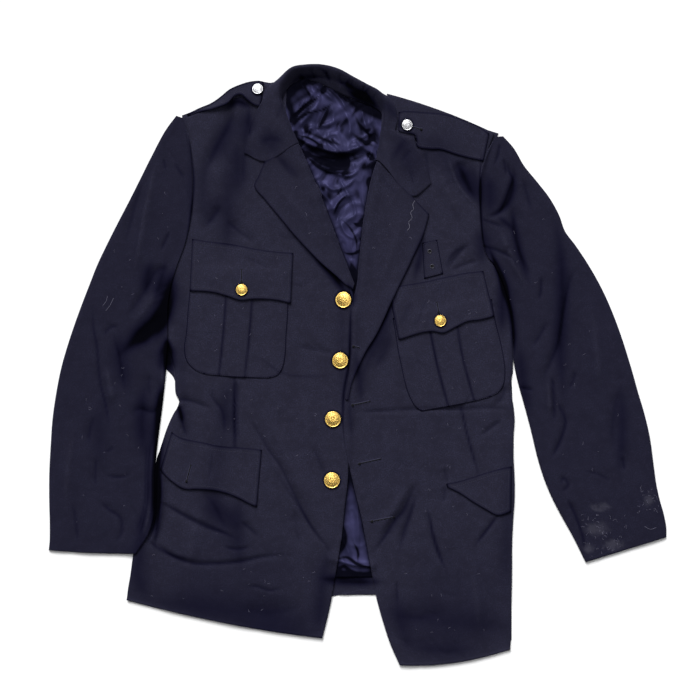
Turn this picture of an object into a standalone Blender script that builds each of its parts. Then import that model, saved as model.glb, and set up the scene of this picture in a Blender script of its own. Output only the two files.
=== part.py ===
"""Firefighter dress jacket, unfastened and laid flat with its front up.

X runs to the viewer's right, Y towards the collar and Z up from the surface it lies on.
The origin is under the middle of the jacket. Tables are in millimetres. "Right" and
"left" are the wearer's, so the right front is on the viewer's left.
"""
import math
from collections import namedtuple

import bmesh
import bpy
import numpy as np
from mathutils import Matrix, Vector
from mathutils.bvhtree import BVHTree

MM = 0.001

# Cloth, in millimetres
WOOL_WALL = 1.5
FRONT_WALL = 2.0
COLLAR_WALL = 2.0
FLAP_WALL = 2.2
LINING_WALL = 1.0
LAYER_GAP = 0.3
SIDE_REACH = 0.6
SIDE_ROLL = 8.0
FRONT_EDGE_ROLL = 5.0
LAPEL_ROLL = 5.0
LONGEST_STEP = 38.0
SAMPLES_PER_EDGE = 7
FINE_SAMPLES_PER_EDGE = 14

# Buttons, eyelets and buttonhole, in millimetres
FRONT_BUTTON_DIAMETER = 22.9
POCKET_BUTTON_DIAMETER = 16.5
SHOULDER_BUTTON_DIAMETER = 15.5
EYELET_DIAMETER = 7.0
EYELET_HOLE = 3.4
SEAT_GAP = 0.3
SEAT_REACH = 0.6

# A rolled edge comes down as a quarter round. Each value is a share of the roll's width.
ROLL_STEPS = (0.0, 0.12, 0.42)

# One section across a main panel. Outer is the sleeve or side end and inner the end
# towards the middle, bow moves its middle along the panel, and lift, outer_edge and
# inner_edge are the heights of its underside inside and at its two ends.
Section = namedtuple("Section", "outer_x outer_y inner_x inner_y bow lift outer_edge inner_edge")
# One section across a smaller piece, from a to b.
Span = namedtuple("Span", "a_x a_y b_x b_y bow")
# One soft fold through three points. A negative rise is a trough.
Fold = namedtuple("Fold", "start_x start_y middle_x middle_y end_x end_y width rise")
# One section round the collar: foot of the stand, roll line, middle and edge of the fall.
Station = namedtuple(
    "Station",
    "foot_x foot_y foot_z roll_x roll_y roll_z mid_x mid_y mid_z edge_x edge_y edge_z",
)
Point = namedtuple("Point", "x y")
Width = namedtuple("Width", "y left right")
Button = namedtuple("Button", "name x y")

FRONT_RIGHT = [
    Section(-243.8, 353.9, -135.8, 398.3, 0.0, 4.8, 3.6, 4.8),
    Section(-239.5, 322.5, -115.8, 362.5, 0.0, 4.8, 3.6, 4.8),
    Section(-235.9, 286.7, -86.5, 313.9, 0.0, 4.8, 3.6, 4.8),
    Section(-235.2, 251.0, -72.9, 279.6, 0.0, 4.8, 3.6, 4.8),
    Section(-235.9, 222.4, -58.6, 243.8, 0.0, 4.8, 3.6, 4.8),
    Section(-240.2, 195.2, -45.8, 208.1, 0.0, 4.8, 3.6, 4.8),
    Section(-247.4, 168.0, -34.3, 175.2, 0.0, 4.8, 3.6, 4.8),
    Section(-256.0, 145.1, -24.3, 148.0, 0.0, 4.8, 3.4, 4.8),
    Section(-263.8, 120.8, -12.9, 118.0, 0.0, 4.8, 3.0, 4.8),
    Section(-268.8, 95.1, -5.7, 86.5, 0.0, 4.8, 2.2, 4.0),
    Section(-270.3, 62.2, -1.4, 50.8, 0.0, 4.8, 1.9, 3.6),
    Section(-269.6, 29.3, -1.4, 10.7, 0.0, 4.8, 1.9, 3.6),
    Section(-263.1, 5.0, -2.1, -20.7, 0.0, 4.8, 1.9, 3.6),
    Section(-260.3, -17.9, -3.6, -46.5, 0.0, 4.8, 1.9, 3.6),
    Section(-258.8, -40.8, -5.7, -70.8, 0.0, 4.8, 1.9, 3.6),
    Section(-253.1, -53.6, -7.1, -87.9, 0.0, 4.8, 1.9, 3.6),
    Section(-261.7, -67.9, -8.6, -103.7, 0.0, 4.8, 1.9, 3.6),
    Section(-270.3, -86.5, -10.7, -123.7, 0.0, 4.8, 1.9, 3.6),
    Section(-278.1, -109.4, -12.2, -146.6, 0.0, 4.8, 1.9, 3.6),
    Section(-286.0, -135.1, -13.6, -170.9, 0.0, 4.8, 1.9, 3.6),
    Section(-294.6, -170.9, -17.2, -199.5, 0.0, 4.8, 1.9, 3.6),
    Section(-304.6, -213.8, -20.7, -235.2, 0.0, 4.4, 1.9, 3.4),
    Section(-314.6, -249.5, -24.3, -261.0, 0.0, 4.2, 1.9, 3.2),
    Section(-320.3, -273.8, -28.6, -286.7, 0.0, 4.0, 1.9, 3.0),
    Section(-323.2, -295.3, -32.2, -309.6, 1.4, 3.8, 1.9, 2.6),
    Section(-326.8, -316.7, -38.6, -343.9, 4.3, 3.4, 1.9, 2.2),
    Section(-328.9, -333.9, -49.3, -389.0, 5.7, 2.8, 1.9, 2.0),
]
FRONT_LEFT = [
    Section(195.9, 331.8, 42.9, 388.2, -4.3, 4.8, 3.6, 4.8),
    Section(187.3, 308.2, 41.5, 343.9, 0.0, 4.8, 3.6, 4.8),
    Section(178.8, 282.4, 32.9, 305.3, 0.0, 4.8, 3.6, 4.8),
    Section(175.2, 253.8, 23.6, 265.3, 0.0, 4.8, 3.6, 4.8),
    Section(175.9, 225.2, 16.4, 229.5, 0.0, 4.8, 3.6, 4.8),
    Section(177.3, 199.5, 11.4, 199.5, 0.0, 4.8, 3.6, 4.8),
    Section(179.5, 173.7, 7.9, 168.0, 0.0, 4.8, 3.6, 4.8),
    Section(185.9, 155.2, 5.7, 142.3, 0.0, 4.8, 3.6, 4.8),
    Section(197.3, 139.4, 4.3, 122.3, 0.0, 4.8, 3.2, 4.8),
    Section(207.3, 119.4, 2.1, 108.0, 0.0, 4.8, 2.6, 4.8),
    Section(215.9, 93.7, -1.4, 90.8, 0.0, 4.8, 1.9, 4.8),
    Section(221.6, 65.1, -5.0, 67.9, 0.0, 4.8, 1.9, 4.8),
    Section(223.1, 33.6, -6.4, 42.2, 0.0, 4.8, 1.9, 4.8),
    Section(223.1, 7.9, -7.9, 16.4, 0.0, 4.8, 1.9, 4.8),
    Section(221.6, -12.2, -10.0, -9.3, 0.0, 4.8, 1.9, 4.8),
    Section(218.8, -32.2, -12.2, -32.2, 0.0, 4.8, 1.9, 4.8),
    Section(223.1, -55.1, -15.7, -55.1, 0.0, 4.8, 1.9, 4.0),
    Section(225.2, -77.9, -19.7, -77.9, 0.0, 4.8, 1.9, 3.8),
    Section(223.1, -106.5, -18.6, -106.5, 0.0, 4.8, 1.9, 3.4),
    Section(223.8, -132.3, -13.3, -133.7, 0.0, 4.8, 1.9, 3.2),
    Section(225.2, -160.9, -6.4, -163.7, 0.0, 4.8, 1.9, 3.0),
    Section(225.2, -192.3, 0.7, -193.8, 0.0, 4.8, 1.9, 3.0),
    Section(223.1, -220.9, 7.9, -223.8, 0.0, 4.8, 1.9, 3.0),
    Section(221.6, -256.7, 14.3, -258.1, 0.0, 4.6, 1.9, 3.0),
    Section(221.6, -292.4, 20.7, -293.9, 0.0, 4.4, 1.9, 3.0),
    Section(220.9, -328.2, 27.2, -329.6, 0.0, 4.0, 1.9, 2.4),
    Section(219.5, -361.1, 36.5, -363.9, 0.0, 3.6, 1.9, 2.2),
    Section(220.2, -384.0, 47.2, -396.8, 2.9, 3.2, 1.9, 2.0),
    Section(218.8, -404.7, 60.8, -427.6, 7.9, 2.8, 1.9, 2.0),
]
SLEEVE_RIGHT = [
    Section(-258.1, 356.8, -248.2, 353.2, 0.0, 3.6, 2.6, 3.2),
    Section(-273.1, 336.8, -239.8, 322.5, 0.0, 4.4, 1.9, 3.4),
    Section(-294.6, 296.7, -235.9, 286.7, 0.0, 4.4, 1.9, 3.4),
    Section(-311.7, 262.4, -235.2, 251.0, 0.0, 4.4, 1.9, 3.4),
    Section(-326.8, 232.4, -235.9, 222.4, 0.0, 4.4, 1.9, 3.4),
    Section(-343.2, 200.9, -240.2, 195.2, 0.0, 4.4, 1.9, 3.4),
    Section(-358.9, 169.5, -247.4, 168.0, 0.0, 4.4, 1.9, 3.4),
    Section(-371.1, 143.7, -256.0, 145.1, 0.0, 4.4, 1.9, 3.2),
    Section(-381.8, 116.5, -263.8, 120.8, 0.0, 4.4, 1.9, 2.8),
    Section(-391.8, 90.8, -269.0, 95.1, 0.0, 4.4, 1.9, 2.2),
    Section(-403.3, 59.3, -270.4, 62.2, 0.0, 4.4, 1.9, 1.9),
    Section(-413.3, 29.3, -270.4, 29.3, 0.0, 4.4, 1.9, 1.9),
    Section(-423.3, -6.4, -273.1, -9.3, 0.0, 4.4, 1.9, 1.9),
    Section(-429.7, -39.3, -276.0, -39.3, 0.0, 4.4, 1.9, 1.9),
    Section(-434.7, -73.6, -280.0, -72.2, 0.0, 4.4, 1.9, 1.9),
    Section(-437.6, -113.7, -285.0, -110.8, 0.0, 4.4, 1.9, 1.9),
    Section(-439.7, -156.6, -288.6, -149.4, 0.0, 4.4, 1.9, 1.9),
    Section(-439.7, -196.6, -288.9, -189.5, 0.0, 4.4, 1.9, 1.9),
    Section(-439.0, -223.8, -290.3, -216.6, 0.0, 4.2, 1.9, 1.9),
    Section(-439.0, -246.7, -297.4, -239.5, 0.0, 3.8, 1.9, 1.9),
    Section(-440.4, -263.8, -316.0, -268.8, 1.4, 3.2, 1.9, 1.9),
]
SLEEVE_LEFT = [
    Section(208.8, 327.5, 197.9, 326.8, 0.0, 3.6, 2.6, 3.2),
    Section(223.1, 311.7, 187.8, 307.4, 0.0, 4.4, 1.9, 3.4),
    Section(238.8, 285.3, 178.9, 281.7, 0.0, 4.4, 1.9, 3.4),
    Section(257.4, 262.4, 175.2, 253.8, 0.0, 4.4, 1.9, 3.4),
    Section(276.0, 238.1, 175.9, 225.2, 0.0, 4.4, 1.9, 3.4),
    Section(288.9, 214.5, 177.3, 199.5, 0.0, 4.4, 1.9, 3.4),
    Section(297.4, 191.6, 179.6, 174.5, 0.0, 4.4, 1.9, 3.4),
    Section(311.7, 172.3, 186.0, 156.6, 0.0, 4.4, 1.9, 3.4),
    Section(328.9, 146.6, 197.5, 140.9, 0.0, 4.4, 1.9, 3.0),
    Section(343.2, 122.3, 207.6, 120.1, 0.0, 4.4, 1.9, 2.4),
    Section(355.4, 98.0, 216.1, 94.4, 0.0, 4.4, 1.9, 1.9),
    Section(367.5, 69.4, 221.8, 65.8, 0.0, 4.4, 1.9, 1.9),
    Section(378.9, 37.9, 223.5, 35.0, 0.0, 4.4, 1.9, 1.9),
    Section(387.5, 10.7, 223.8, 7.9, 0.0, 4.4, 1.9, 1.9),
    Section(394.7, -13.6, 228.1, -16.4, 0.0, 4.4, 1.9, 1.9),
    Section(401.8, -39.3, 234.5, -40.8, 0.0, 4.4, 1.9, 1.9),
    Section(410.4, -67.9, 241.7, -66.5, 0.0, 4.4, 1.9, 1.9),
    Section(418.3, -102.2, 249.5, -96.5, 0.0, 4.4, 1.9, 1.9),
    Section(423.3, -138.0, 258.1, -132.3, 0.0, 4.4, 1.9, 1.9),
    Section(427.6, -169.5, 269.6, -168.0, 0.0, 4.4, 1.9, 1.9),
    Section(432.6, -192.3, 281.7, -195.2, 0.0, 4.4, 1.9, 1.9),
    Section(437.6, -209.5, 293.1, -216.6, 0.0, 4.2, 1.9, 1.9),
    Section(441.2, -226.7, 306.0, -239.5, 0.0, 3.8, 1.9, 1.9),
    Section(441.9, -245.2, 326.8, -281.0, 0.0, 3.2, 1.9, 1.9),
]

# From the roll line (a) to the free edge (b), starting at the gorge seam.
LAPEL_RIGHT = [
    Span(-81.7, 315.0, -132.7, 287.0, 0.0),
    Span(-75.8, 301.0, -140.1, 271.7, 0.0),
    Span(-68.6, 283.9, -146.6, 256.7, 0.0),
    Span(-61.5, 266.7, -131.6, 236.7, 0.0),
    Span(-52.9, 246.7, -110.1, 210.9, 0.0),
    Span(-42.9, 220.9, -88.7, 185.2, 0.0),
    Span(-32.9, 193.8, -70.1, 165.2, 0.0),
    Span(-24.3, 169.5, -50.0, 145.1, 0.0),
    Span(-15.7, 148.0, -30.0, 128.0, 0.0),
    Span(-8.6, 129.4, -15.7, 115.1, 0.0),
    Span(-3.6, 117.3, -5.7, 108.7, 0.0),
]
LAPEL_LEFT = [
    Span(27.5, 288.3, 103.0, 215.9, 2.1),
    Span(20.0, 265.3, 100.1, 205.2, 0.0),
    Span(13.6, 233.8, 96.1, 190.9, 0.0),
    Span(7.9, 198.1, 90.1, 175.2, 0.0),
    Span(5.7, 175.2, 81.5, 158.0, 0.0),
    Span(3.6, 158.0, 72.9, 139.4, 0.0),
    Span(2.1, 145.1, 61.5, 116.5, 0.0),
    Span(0.0, 118.0, 47.2, 86.5, 0.0),
    Span(-5.7, 90.8, 40.0, 70.1, 0.0),
    Span(-10.0, 65.1, 27.2, 43.6, 0.0),
    Span(-10.0, 39.3, 12.9, 20.7, 0.0),
    Span(-12.2, 7.9, 0.7, -5.0, 0.0),
    Span(-14.3, -23.6, -7.9, -26.5, 0.0),
    Span(-16.9, -47.9, -12.2, -49.3, 0.0),
]

# From the back edge (a) to the front edge (b).
EPAULETTE_RIGHT = [
    Span(-243.1, 359.2, -241.7, 356.1, 0.0),
    Span(-224.5, 368.2, -224.5, 362.5, 0.0),
    Span(-207.3, 375.4, -207.3, 365.4, 0.0),
    Span(-194.5, 384.0, -193.0, 369.7, 0.0),
    Span(-183.0, 393.2, -181.6, 373.9, 0.0),
    Span(-173.0, 398.3, -173.0, 384.7, 0.0),
    Span(-164.4, 401.8, -165.2, 386.1, 0.0),
    Span(-155.9, 404.7, -156.6, 378.2, 0.0),
    Span(-147.3, 406.4, -147.3, 371.8, 0.0),
    Span(-140.1, 406.8, -140.1, 369.7, 0.0),
    Span(-133.0, 405.4, -136.6, 373.9, 0.0),
]
EPAULETTE_LEFT = [
    Span(59.3, 361.8, 58.9, 334.6, 0.0),
    Span(68.6, 363.2, 70.1, 331.8, 0.0),
    Span(80.1, 362.8, 82.9, 328.2, 0.0),
    Span(87.2, 362.5, 85.1, 313.2, 0.0),
    Span(100.1, 361.4, 104.4, 308.2, 0.0),
    Span(115.8, 360.2, 118.7, 307.7, 0.0),
    Span(133.0, 357.1, 140.1, 301.0, 0.0),
    Span(155.9, 348.9, 161.6, 295.3, 0.0),
    Span(173.0, 341.8, 173.0, 293.1, 0.0),
    Span(188.8, 331.0, 180.2, 291.0, 0.0),
]

# Pocket patches, from their left side (a) to their right side (b), the top first.
CHEST_PATCH_RIGHT = [
    Span(-237.4, 139.4, -97.2, 133.7, 0.0),
    Span(-238.8, 108.0, -98.0, 100.8, 0.0),
    Span(-241.7, 76.5, -98.7, 72.2, 0.0),
    Span(-243.8, 47.9, -100.8, 43.6, 0.0),
    Span(-246.7, 22.2, -102.2, 16.4, 0.0),
    Span(-243.1, 6.4, -105.1, -0.7, 0.0),
    Span(-233.1, -5.0, -111.5, -12.2, 0.0),
    Span(-217.4, -12.6, -124.4, -17.9, 1.4),
]
CHEST_PATCH_LEFT = [
    Span(50.8, 67.9, 192.3, 95.1, 0.0),
    Span(55.1, 42.2, 197.3, 65.1, 0.0),
    Span(58.6, 19.3, 204.5, 36.5, 0.0),
    Span(62.9, -0.7, 209.2, 13.6, 0.0),
    Span(67.9, -23.6, 211.6, -7.9, 0.0),
    Span(74.4, -43.6, 209.5, -26.5, 0.0),
    Span(81.5, -56.5, 203.1, -37.2, 0.0),
    Span(91.5, -65.1, 188.8, -45.5, 1.4),
]

# Flaps, from the sewn edge (a) to the free edge (b), the left side first.
CHEST_FLAP_RIGHT = [
    Span(-235.2, 180.9, -238.8, 106.5, 0.0),
    Span(-217.4, 178.0, -220.2, 105.8, 0.0),
    Span(-198.8, 175.7, -202.3, 103.7, 0.0),
    Span(-181.6, 173.7, -184.5, 98.7, 0.0),
    Span(-163.0, 170.2, -166.6, 93.0, 0.0),
    Span(-144.4, 166.6, -147.3, 94.7, 0.0),
    Span(-125.8, 163.7, -128.7, 94.4, 0.0),
    Span(-107.2, 161.9, -110.1, 92.2, 0.0),
    Span(-90.8, 160.6, -94.4, 88.4, 0.0),
]
CHEST_FLAP_LEFT = [
    Span(44.3, 109.4, 59.3, 36.5, 0.0),
    Span(64.3, 114.4, 77.2, 42.2, 0.0),
    Span(82.9, 117.3, 91.5, 46.5, 0.0),
    Span(101.5, 120.8, 107.2, 48.6, 0.0),
    Span(120.1, 125.1, 123.7, 46.5, 0.0),
    Span(137.3, 128.7, 140.1, 54.3, 0.0),
    Span(154.4, 132.3, 157.3, 62.5, 0.0),
    Span(167.3, 133.7, 175.9, 65.1, 0.0),
    Span(180.2, 135.1, 195.9, 70.1, 0.0),
]
LOWER_FLAP_RIGHT = [
    Span(-264.6, -94.4, -281.0, -149.4, 0.0),
    Span(-251.7, -102.7, -264.6, -165.2, 0.0),
    Span(-235.9, -106.5, -247.4, -175.9, 0.0),
    Span(-218.8, -109.8, -227.4, -176.6, 0.0),
    Span(-201.6, -113.7, -207.3, -178.0, 0.0),
    Span(-183.0, -115.8, -185.9, -182.6, 0.0),
    Span(-165.9, -116.8, -165.9, -190.9, 0.0),
    Span(-150.2, -118.4, -153.0, -197.6, 0.0),
    Span(-135.8, -120.1, -143.0, -201.6, 0.0),
]
LOWER_FLAP_LEFT = [
    Span(127.3, -168.5, 128.0, -172.7, 0.0),
    Span(147.3, -164.4, 145.9, -181.6, 0.0),
    Span(165.9, -158.7, 165.2, -194.5, 0.0),
    Span(185.9, -152.3, 184.5, -205.9, 0.0),
    Span(203.1, -147.3, 200.2, -213.8, 0.0),
    Span(220.9, -143.7, 219.9, -208.8, 0.0),
]
BADGE_TAB = [
    Span(93.0, 175.2, 114.4, 179.5, 0.0),
    Span(94.4, 149.4, 118.7, 155.2, 0.0),
    Span(95.8, 123.7, 123.0, 130.8, 0.0),
]

# The collar runs from the right front round the neck to the left front.
COLLAR = [
    Station(-82.5, 317.6, 3.3, -87.2, 316.0, 8.0, -132.3, 291.0, 8.0, -161.6, 303.9, 8.0),
    Station(-92.2, 334.6, 3.3, -96.5, 333.9, 9.0, -130.1, 313.9, 9.0, -158.3, 316.7, 9.0),
    Station(-99.8, 352.5, 3.3, -104.4, 351.8, 10.0, -130.1, 339.6, 10.0, -153.0, 337.5, 9.0),
    Station(-104.7, 368.2, 3.3, -109.0, 368.2, 11.0, -127.3, 361.1, 10.5, -146.6, 356.1, 10.0),
    Station(-108.0, 381.1, 3.3, -113.0, 384.0, 12.0, -125.8, 380.4, 11.0, -135.8, 376.8, 10.0),
    Station(-103.0, 392.5, 3.5, -111.5, 399.0, 16.0, -121.5, 396.1, 11.0, -129.4, 392.5, 6.0),
    Station(-95.8, 401.8, 3.5, -103.7, 411.8, 20.0, -110.8, 407.5, 12.0, -117.3, 402.5, 3.0),
    Station(-84.4, 407.5, 3.5, -91.5, 422.6, 23.0, -94.4, 417.6, 12.0, -94.4, 411.1, 1.5),
    Station(-68.6, 409.0, 3.5, -72.9, 426.1, 24.0, -72.9, 419.7, 12.0, -71.5, 412.6, 1.5),
    Station(-50.0, 402.5, 3.5, -50.0, 426.1, 24.0, -50.0, 419.0, 12.0, -50.0, 409.7, 1.5),
    Station(-30.0, 392.5, 3.5, -27.2, 420.4, 24.0, -28.6, 412.6, 12.0, -29.3, 402.5, 1.5),
    Station(-10.0, 383.2, 3.5, -5.7, 409.0, 23.0, -7.1, 401.1, 12.0, -8.6, 392.5, 1.5),
    Station(8.6, 376.1, 3.5, 12.9, 399.0, 21.0, 13.6, 392.5, 12.0, 13.6, 385.4, 2.5),
    Station(24.3, 369.7, 3.5, 30.0, 389.0, 18.0, 36.5, 385.7, 13.0, 42.9, 382.5, 10.0),
    Station(34.3, 363.2, 3.4, 40.0, 376.8, 14.0, 45.8, 374.7, 12.0, 52.2, 372.5, 10.0),
    Station(37.2, 352.5, 3.3, 41.5, 353.2, 12.0, 49.3, 352.5, 11.0, 57.2, 351.8, 10.0),
    Station(35.0, 335.3, 3.3, 39.3, 335.3, 10.0, 47.2, 333.9, 10.0, 55.1, 332.5, 9.0),
    Station(33.3, 323.9, 3.3, 37.6, 323.2, 9.0, 51.5, 319.6, 9.0, 67.9, 322.5, 9.0),
    Station(31.7, 312.5, 3.3, 36.0, 311.7, 9.0, 60.1, 301.0, 9.0, 85.8, 306.0, 9.0),
    Station(30.0, 302.4, 3.3, 34.3, 301.0, 8.5, 68.6, 273.8, 9.0, 100.1, 281.0, 9.0),
    Station(28.6, 293.1, 3.3, 32.9, 291.0, 8.0, 80.1, 241.0, 8.0, 105.8, 259.5, 8.0),
]

BACK_TOP = [
    Point(-243.8, 352.5),
    Point(-210.2, 366.8),
    Point(-167.3, 389.7),
    Point(-135.8, 396.8),
    Point(-124.4, 388.2),
    Point(-113.0, 381.1),
    Point(-104.4, 388.2),
    Point(-95.8, 399.0),
    Point(-84.4, 404.7),
    Point(-68.6, 406.1),
    Point(-50.0, 399.7),
    Point(-30.0, 389.7),
    Point(-10.0, 380.4),
    Point(8.6, 373.2),
    Point(24.3, 367.5),
    Point(38.6, 362.5),
    Point(44.3, 379.7),
    Point(61.5, 382.5),
    Point(104.4, 367.5),
    Point(147.3, 350.3),
    Point(195.9, 329.6),
]
BACK_HEM = [
    Point(-328.9, -332.5),
    Point(-296.0, -338.9),
    Point(-253.1, -343.9),
    Point(-167.3, -343.9),
    Point(-81.5, -335.3),
    Point(-37.2, -330.3),
    Point(-17.2, -326.0),
    Point(1.4, -321.0),
    Point(12.9, -319.6),
    Point(24.3, -321.8),
    Point(61.5, -329.6),
    Point(133.0, -349.6),
    Point(220.2, -392.5),
]
BACK_SIDES = [
    Width(308.2, -238.1, 186.6),
    Width(265.3, -235.2, 176.6),
    Width(222.4, -235.9, 176.6),
    Width(179.5, -243.8, 179.5),
    Width(148.0, -254.5, 190.2),
    Width(115.1, -264.8, 209.5),
    Width(79.4, -269.8, 219.5),
    Width(29.3, -269.1, 223.1),
    Width(-17.9, -260.0, 220.9),
    Width(-53.6, -253.8, 222.4),
    Width(-86.5, -270.0, 224.2),
    Width(-135.1, -285.7, 223.9),
    Width(-192.3, -299.2, 225.2),
    Width(-249.5, -314.3, 221.9),
    Width(-295.3, -322.9, 221.6),
    Width(-332.5, -328.2, 220.9),
]

# Body lining where it shows, from its left side (a) to its right side (b).
LINING = [
    Span(-100.1, 391.1, 32.9, 361.1, 0.0),
    Span(-101.5, 368.2, 38.6, 351.1, 0.0),
    Span(-103.0, 336.8, 47.2, 333.9, 0.0),
    Span(-97.2, 293.9, 47.2, 293.9, 0.0),
    Span(-81.5, 236.7, 40.0, 236.7, 0.0),
    Span(-55.8, 179.5, 32.9, 179.5, 0.0),
    Span(-34.3, 129.4, 27.2, 129.4, 0.0),
    Span(-28.6, 65.1, 21.4, 65.1, 0.0),
    Span(-30.0, -6.4, 15.7, -6.4, 0.0),
    Span(-31.5, -77.9, 12.9, -77.9, 0.0),
    Span(-34.3, -139.4, 15.7, -139.4, 0.0),
    Span(-40.0, -192.3, 28.6, -192.3, 0.0),
    Span(-48.6, -249.5, 40.0, -249.5, 0.0),
    Span(-55.8, -286.7, 50.0, -286.7, 0.0),
    Span(-57.2, -302.4, 51.5, -302.4, 0.0),
]

FOLDS_FRONT_RIGHT = [
    Fold(-193.0, 208.1, -167.3, 190.9, -141.6, 170.9, 9.0, -1.6),
    Fold(-167.3, -56.5, -103.0, -156.6, -28.6, -281.0, 16.0, 2.6),
    Fold(-286.0, -192.3, -243.1, -213.8, -167.3, -249.5, 9.0, -1.8),
    Fold(-296.0, -249.5, -228.8, -281.0, -81.5, -271.0, 10.0, -1.8),
    Fold(-153.0, -352.5, -117.3, -345.3, -81.5, -352.5, 14.0, -1.6),
    Fold(-253.1, -56.5, -247.4, -77.9, -243.1, -103.7, 6.0, -2.0),
    Fold(-221.6, 322.5, -215.9, 251.0, -224.5, 179.5, 14.0, 1.8),
    Fold(-174.5, 343.9, -167.3, 286.7, -178.8, 229.5, 12.0, 1.4),
    Fold(-81.5, -35.0, -64.3, -92.2, -55.8, -163.7, 16.0, 1.8),
    Fold(-217.4, -192.3, -231.7, -249.5, -238.8, -321.0, 18.0, 1.8),
]
FOLDS_FRONT_LEFT = [
    Fold(128.7, 293.9, 150.2, 253.8, 178.8, 215.2, 9.0, -2.2),
    Fold(110.1, 286.7, 130.1, 243.8, 161.6, 196.6, 11.0, 2.2),
    Fold(-2.9, -66.5, 104.4, -65.1, 220.2, -62.2, 7.0, -1.4),
    Fold(204.5, -77.9, 190.2, -92.2, 173.0, -103.7, 6.0, -1.6),
    Fold(123.0, -145.1, 127.3, -170.9, 123.0, -192.3, 7.0, -1.6),
    Fold(100.1, -199.5, 110.1, -256.7, 128.7, -296.7, 9.0, -2.0),
    Fold(87.2, -163.7, 54.3, -220.9, 18.6, -272.4, 10.0, 2.2),
    Fold(82.9, -192.3, 65.8, -235.2, 58.6, -271.0, 7.0, -1.6),
    Fold(200.2, -213.8, 183.0, -235.2, 165.9, -256.7, 8.0, -1.8),
    Fold(61.5, -352.5, 97.2, -371.1, 133.0, -392.5, 14.0, -1.6),
    Fold(161.6, -278.1, 168.7, -335.3, 175.9, -392.5, 18.0, 1.8),
    Fold(54.3, -92.2, 61.5, -128.0, 54.3, -163.7, 14.0, 1.6),
]
FOLDS_SLEEVE_RIGHT = [
    Fold(-288.9, 279.6, -301.7, 236.7, -308.9, 190.9, 8.0, -1.9),
    Fold(-377.5, 93.7, -371.8, 36.5, -356.1, -70.8, 8.0, -1.8),
    Fold(-270.3, 72.2, -310.3, 62.2, -336.1, 17.9, 9.0, -2.2),
    Fold(-274.6, 96.5, -313.2, 87.9, -347.5, 39.3, 12.0, 3.0),
    Fold(-266.0, 193.8, -273.1, 179.5, -278.8, 165.2, 6.0, -1.6),
    Fold(-296.0, 29.3, -310.3, 0.7, -317.5, -49.3, 14.0, 2.2),
    Fold(-381.8, -20.7, -396.1, -106.5, -403.3, -192.3, 20.0, 2.2),
    Fold(-260.3, 308.2, -274.6, 251.0, -281.7, 200.9, 14.0, 1.8),
]
FOLDS_SLEEVE_LEFT = [
    Fold(221.6, 279.6, 211.6, 239.5, 180.2, 218.1, 8.0, -2.2),
    Fold(204.5, 286.7, 197.3, 265.3, 187.3, 242.4, 10.0, 1.8),
    Fold(240.2, 258.1, 235.9, 229.5, 204.5, 205.2, 12.0, 2.2),
    Fold(220.2, 215.2, 233.1, 172.3, 250.2, 133.7, 9.0, -2.0),
    Fold(181.6, 170.9, 204.5, 153.7, 228.8, 136.6, 6.0, -1.6),
    Fold(276.0, 93.7, 268.8, 65.1, 261.7, 36.5, 7.0, -1.6),
    Fold(318.9, 143.7, 294.6, 65.1, 266.0, -17.9, 9.0, -2.2),
    Fold(277.4, -17.9, 281.7, -49.3, 283.1, -85.1, 8.0, -1.6),
    Fold(290.3, -49.3, 293.1, -92.2, 274.6, -138.0, 8.0, -1.8),
    Fold(347.5, 93.7, 361.8, 7.9, 364.6, -92.2, 20.0, 2.2),
    Fold(326.0, -149.4, 347.5, -192.3, 364.6, -249.5, 20.0, 2.0),
]
FOLDS_LINING = [
    Fold(-95.8, 349.6, -74.4, 368.2, -42.9, 394.0, 6.0, 2.2),
    Fold(-55.8, 336.8, -51.5, 359.6, -37.2, 373.9, 5.0, 1.8),
    Fold(-81.5, 319.6, -55.8, 296.7, -27.2, 278.1, 8.0, 3.0),
    Fold(-27.2, 278.1, -1.4, 285.3, 24.3, 303.9, 7.0, 2.4),
    Fold(-30.0, 208.1, -17.2, 239.5, -1.4, 245.2, 6.0, 2.2),
    Fold(-20.0, 215.2, -10.0, 196.6, -4.3, 179.5, 5.0, 1.6),
    Fold(-7.1, -172.3, -1.4, -220.9, -7.1, -272.4, 6.0, 2.0),
    Fold(-15.7, -192.3, -18.6, -235.2, -24.3, -275.3, 6.0, 1.6),
    Fold(-35.8, -286.7, -7.1, -281.0, 21.4, -286.7, 5.0, 2.2),
]

FRONT_BUTTONS = [
    Button("front_button_1", -19.3, 93.7),
    Button("front_button_2", -24.0, 7.1),
    Button("front_button_3", -34.3, -76.5),
    Button("front_button_4", -35.8, -163.7),
]
POCKET_BUTTONS = [
    Button("pocket_button_right", -164.4, 108.0),
    Button("pocket_button_left", 118.7, 63.6),
]
SHOULDER_BUTTONS = [
    Button("epaulette_button_right", -141.6, 394.0),
    Button("epaulette_button_left", 71.5, 343.2),
]
EYELETS = [
    Button("eyelet_upper", 103.7, 163.0),
    Button("eyelet_lower", 107.2, 141.6),
]

# Box pleat of the chest pockets: shares of the width across, and its rise there.
PLEAT_COLUMNS = (0.0, 0.12, 0.24, 0.355, 0.375, 0.5, 0.625, 0.645, 0.76, 0.88, 1.0)
PLEAT_RISE = (0.0, 0.0, 0.0, 0.0, 1.2, 1.3, 1.2, 0.0, 0.0, 0.0, 0.0)

# Wave of the right epaulette: share of its length, and its rise there.
WAVE = [(0.0, 0.0), (0.3, 2.0), (0.5, 8.0), (0.62, 9.5), (0.74, 6.0), (0.88, 2.0), (1.0, 1.0)]


def clear_scene():
    for item in list(bpy.data.objects):
        bpy.data.objects.remove(item, do_unlink=True)


def make_collection(name):
    collection = bpy.data.collections.new(name)
    bpy.context.scene.collection.children.link(collection)
    return collection


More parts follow.
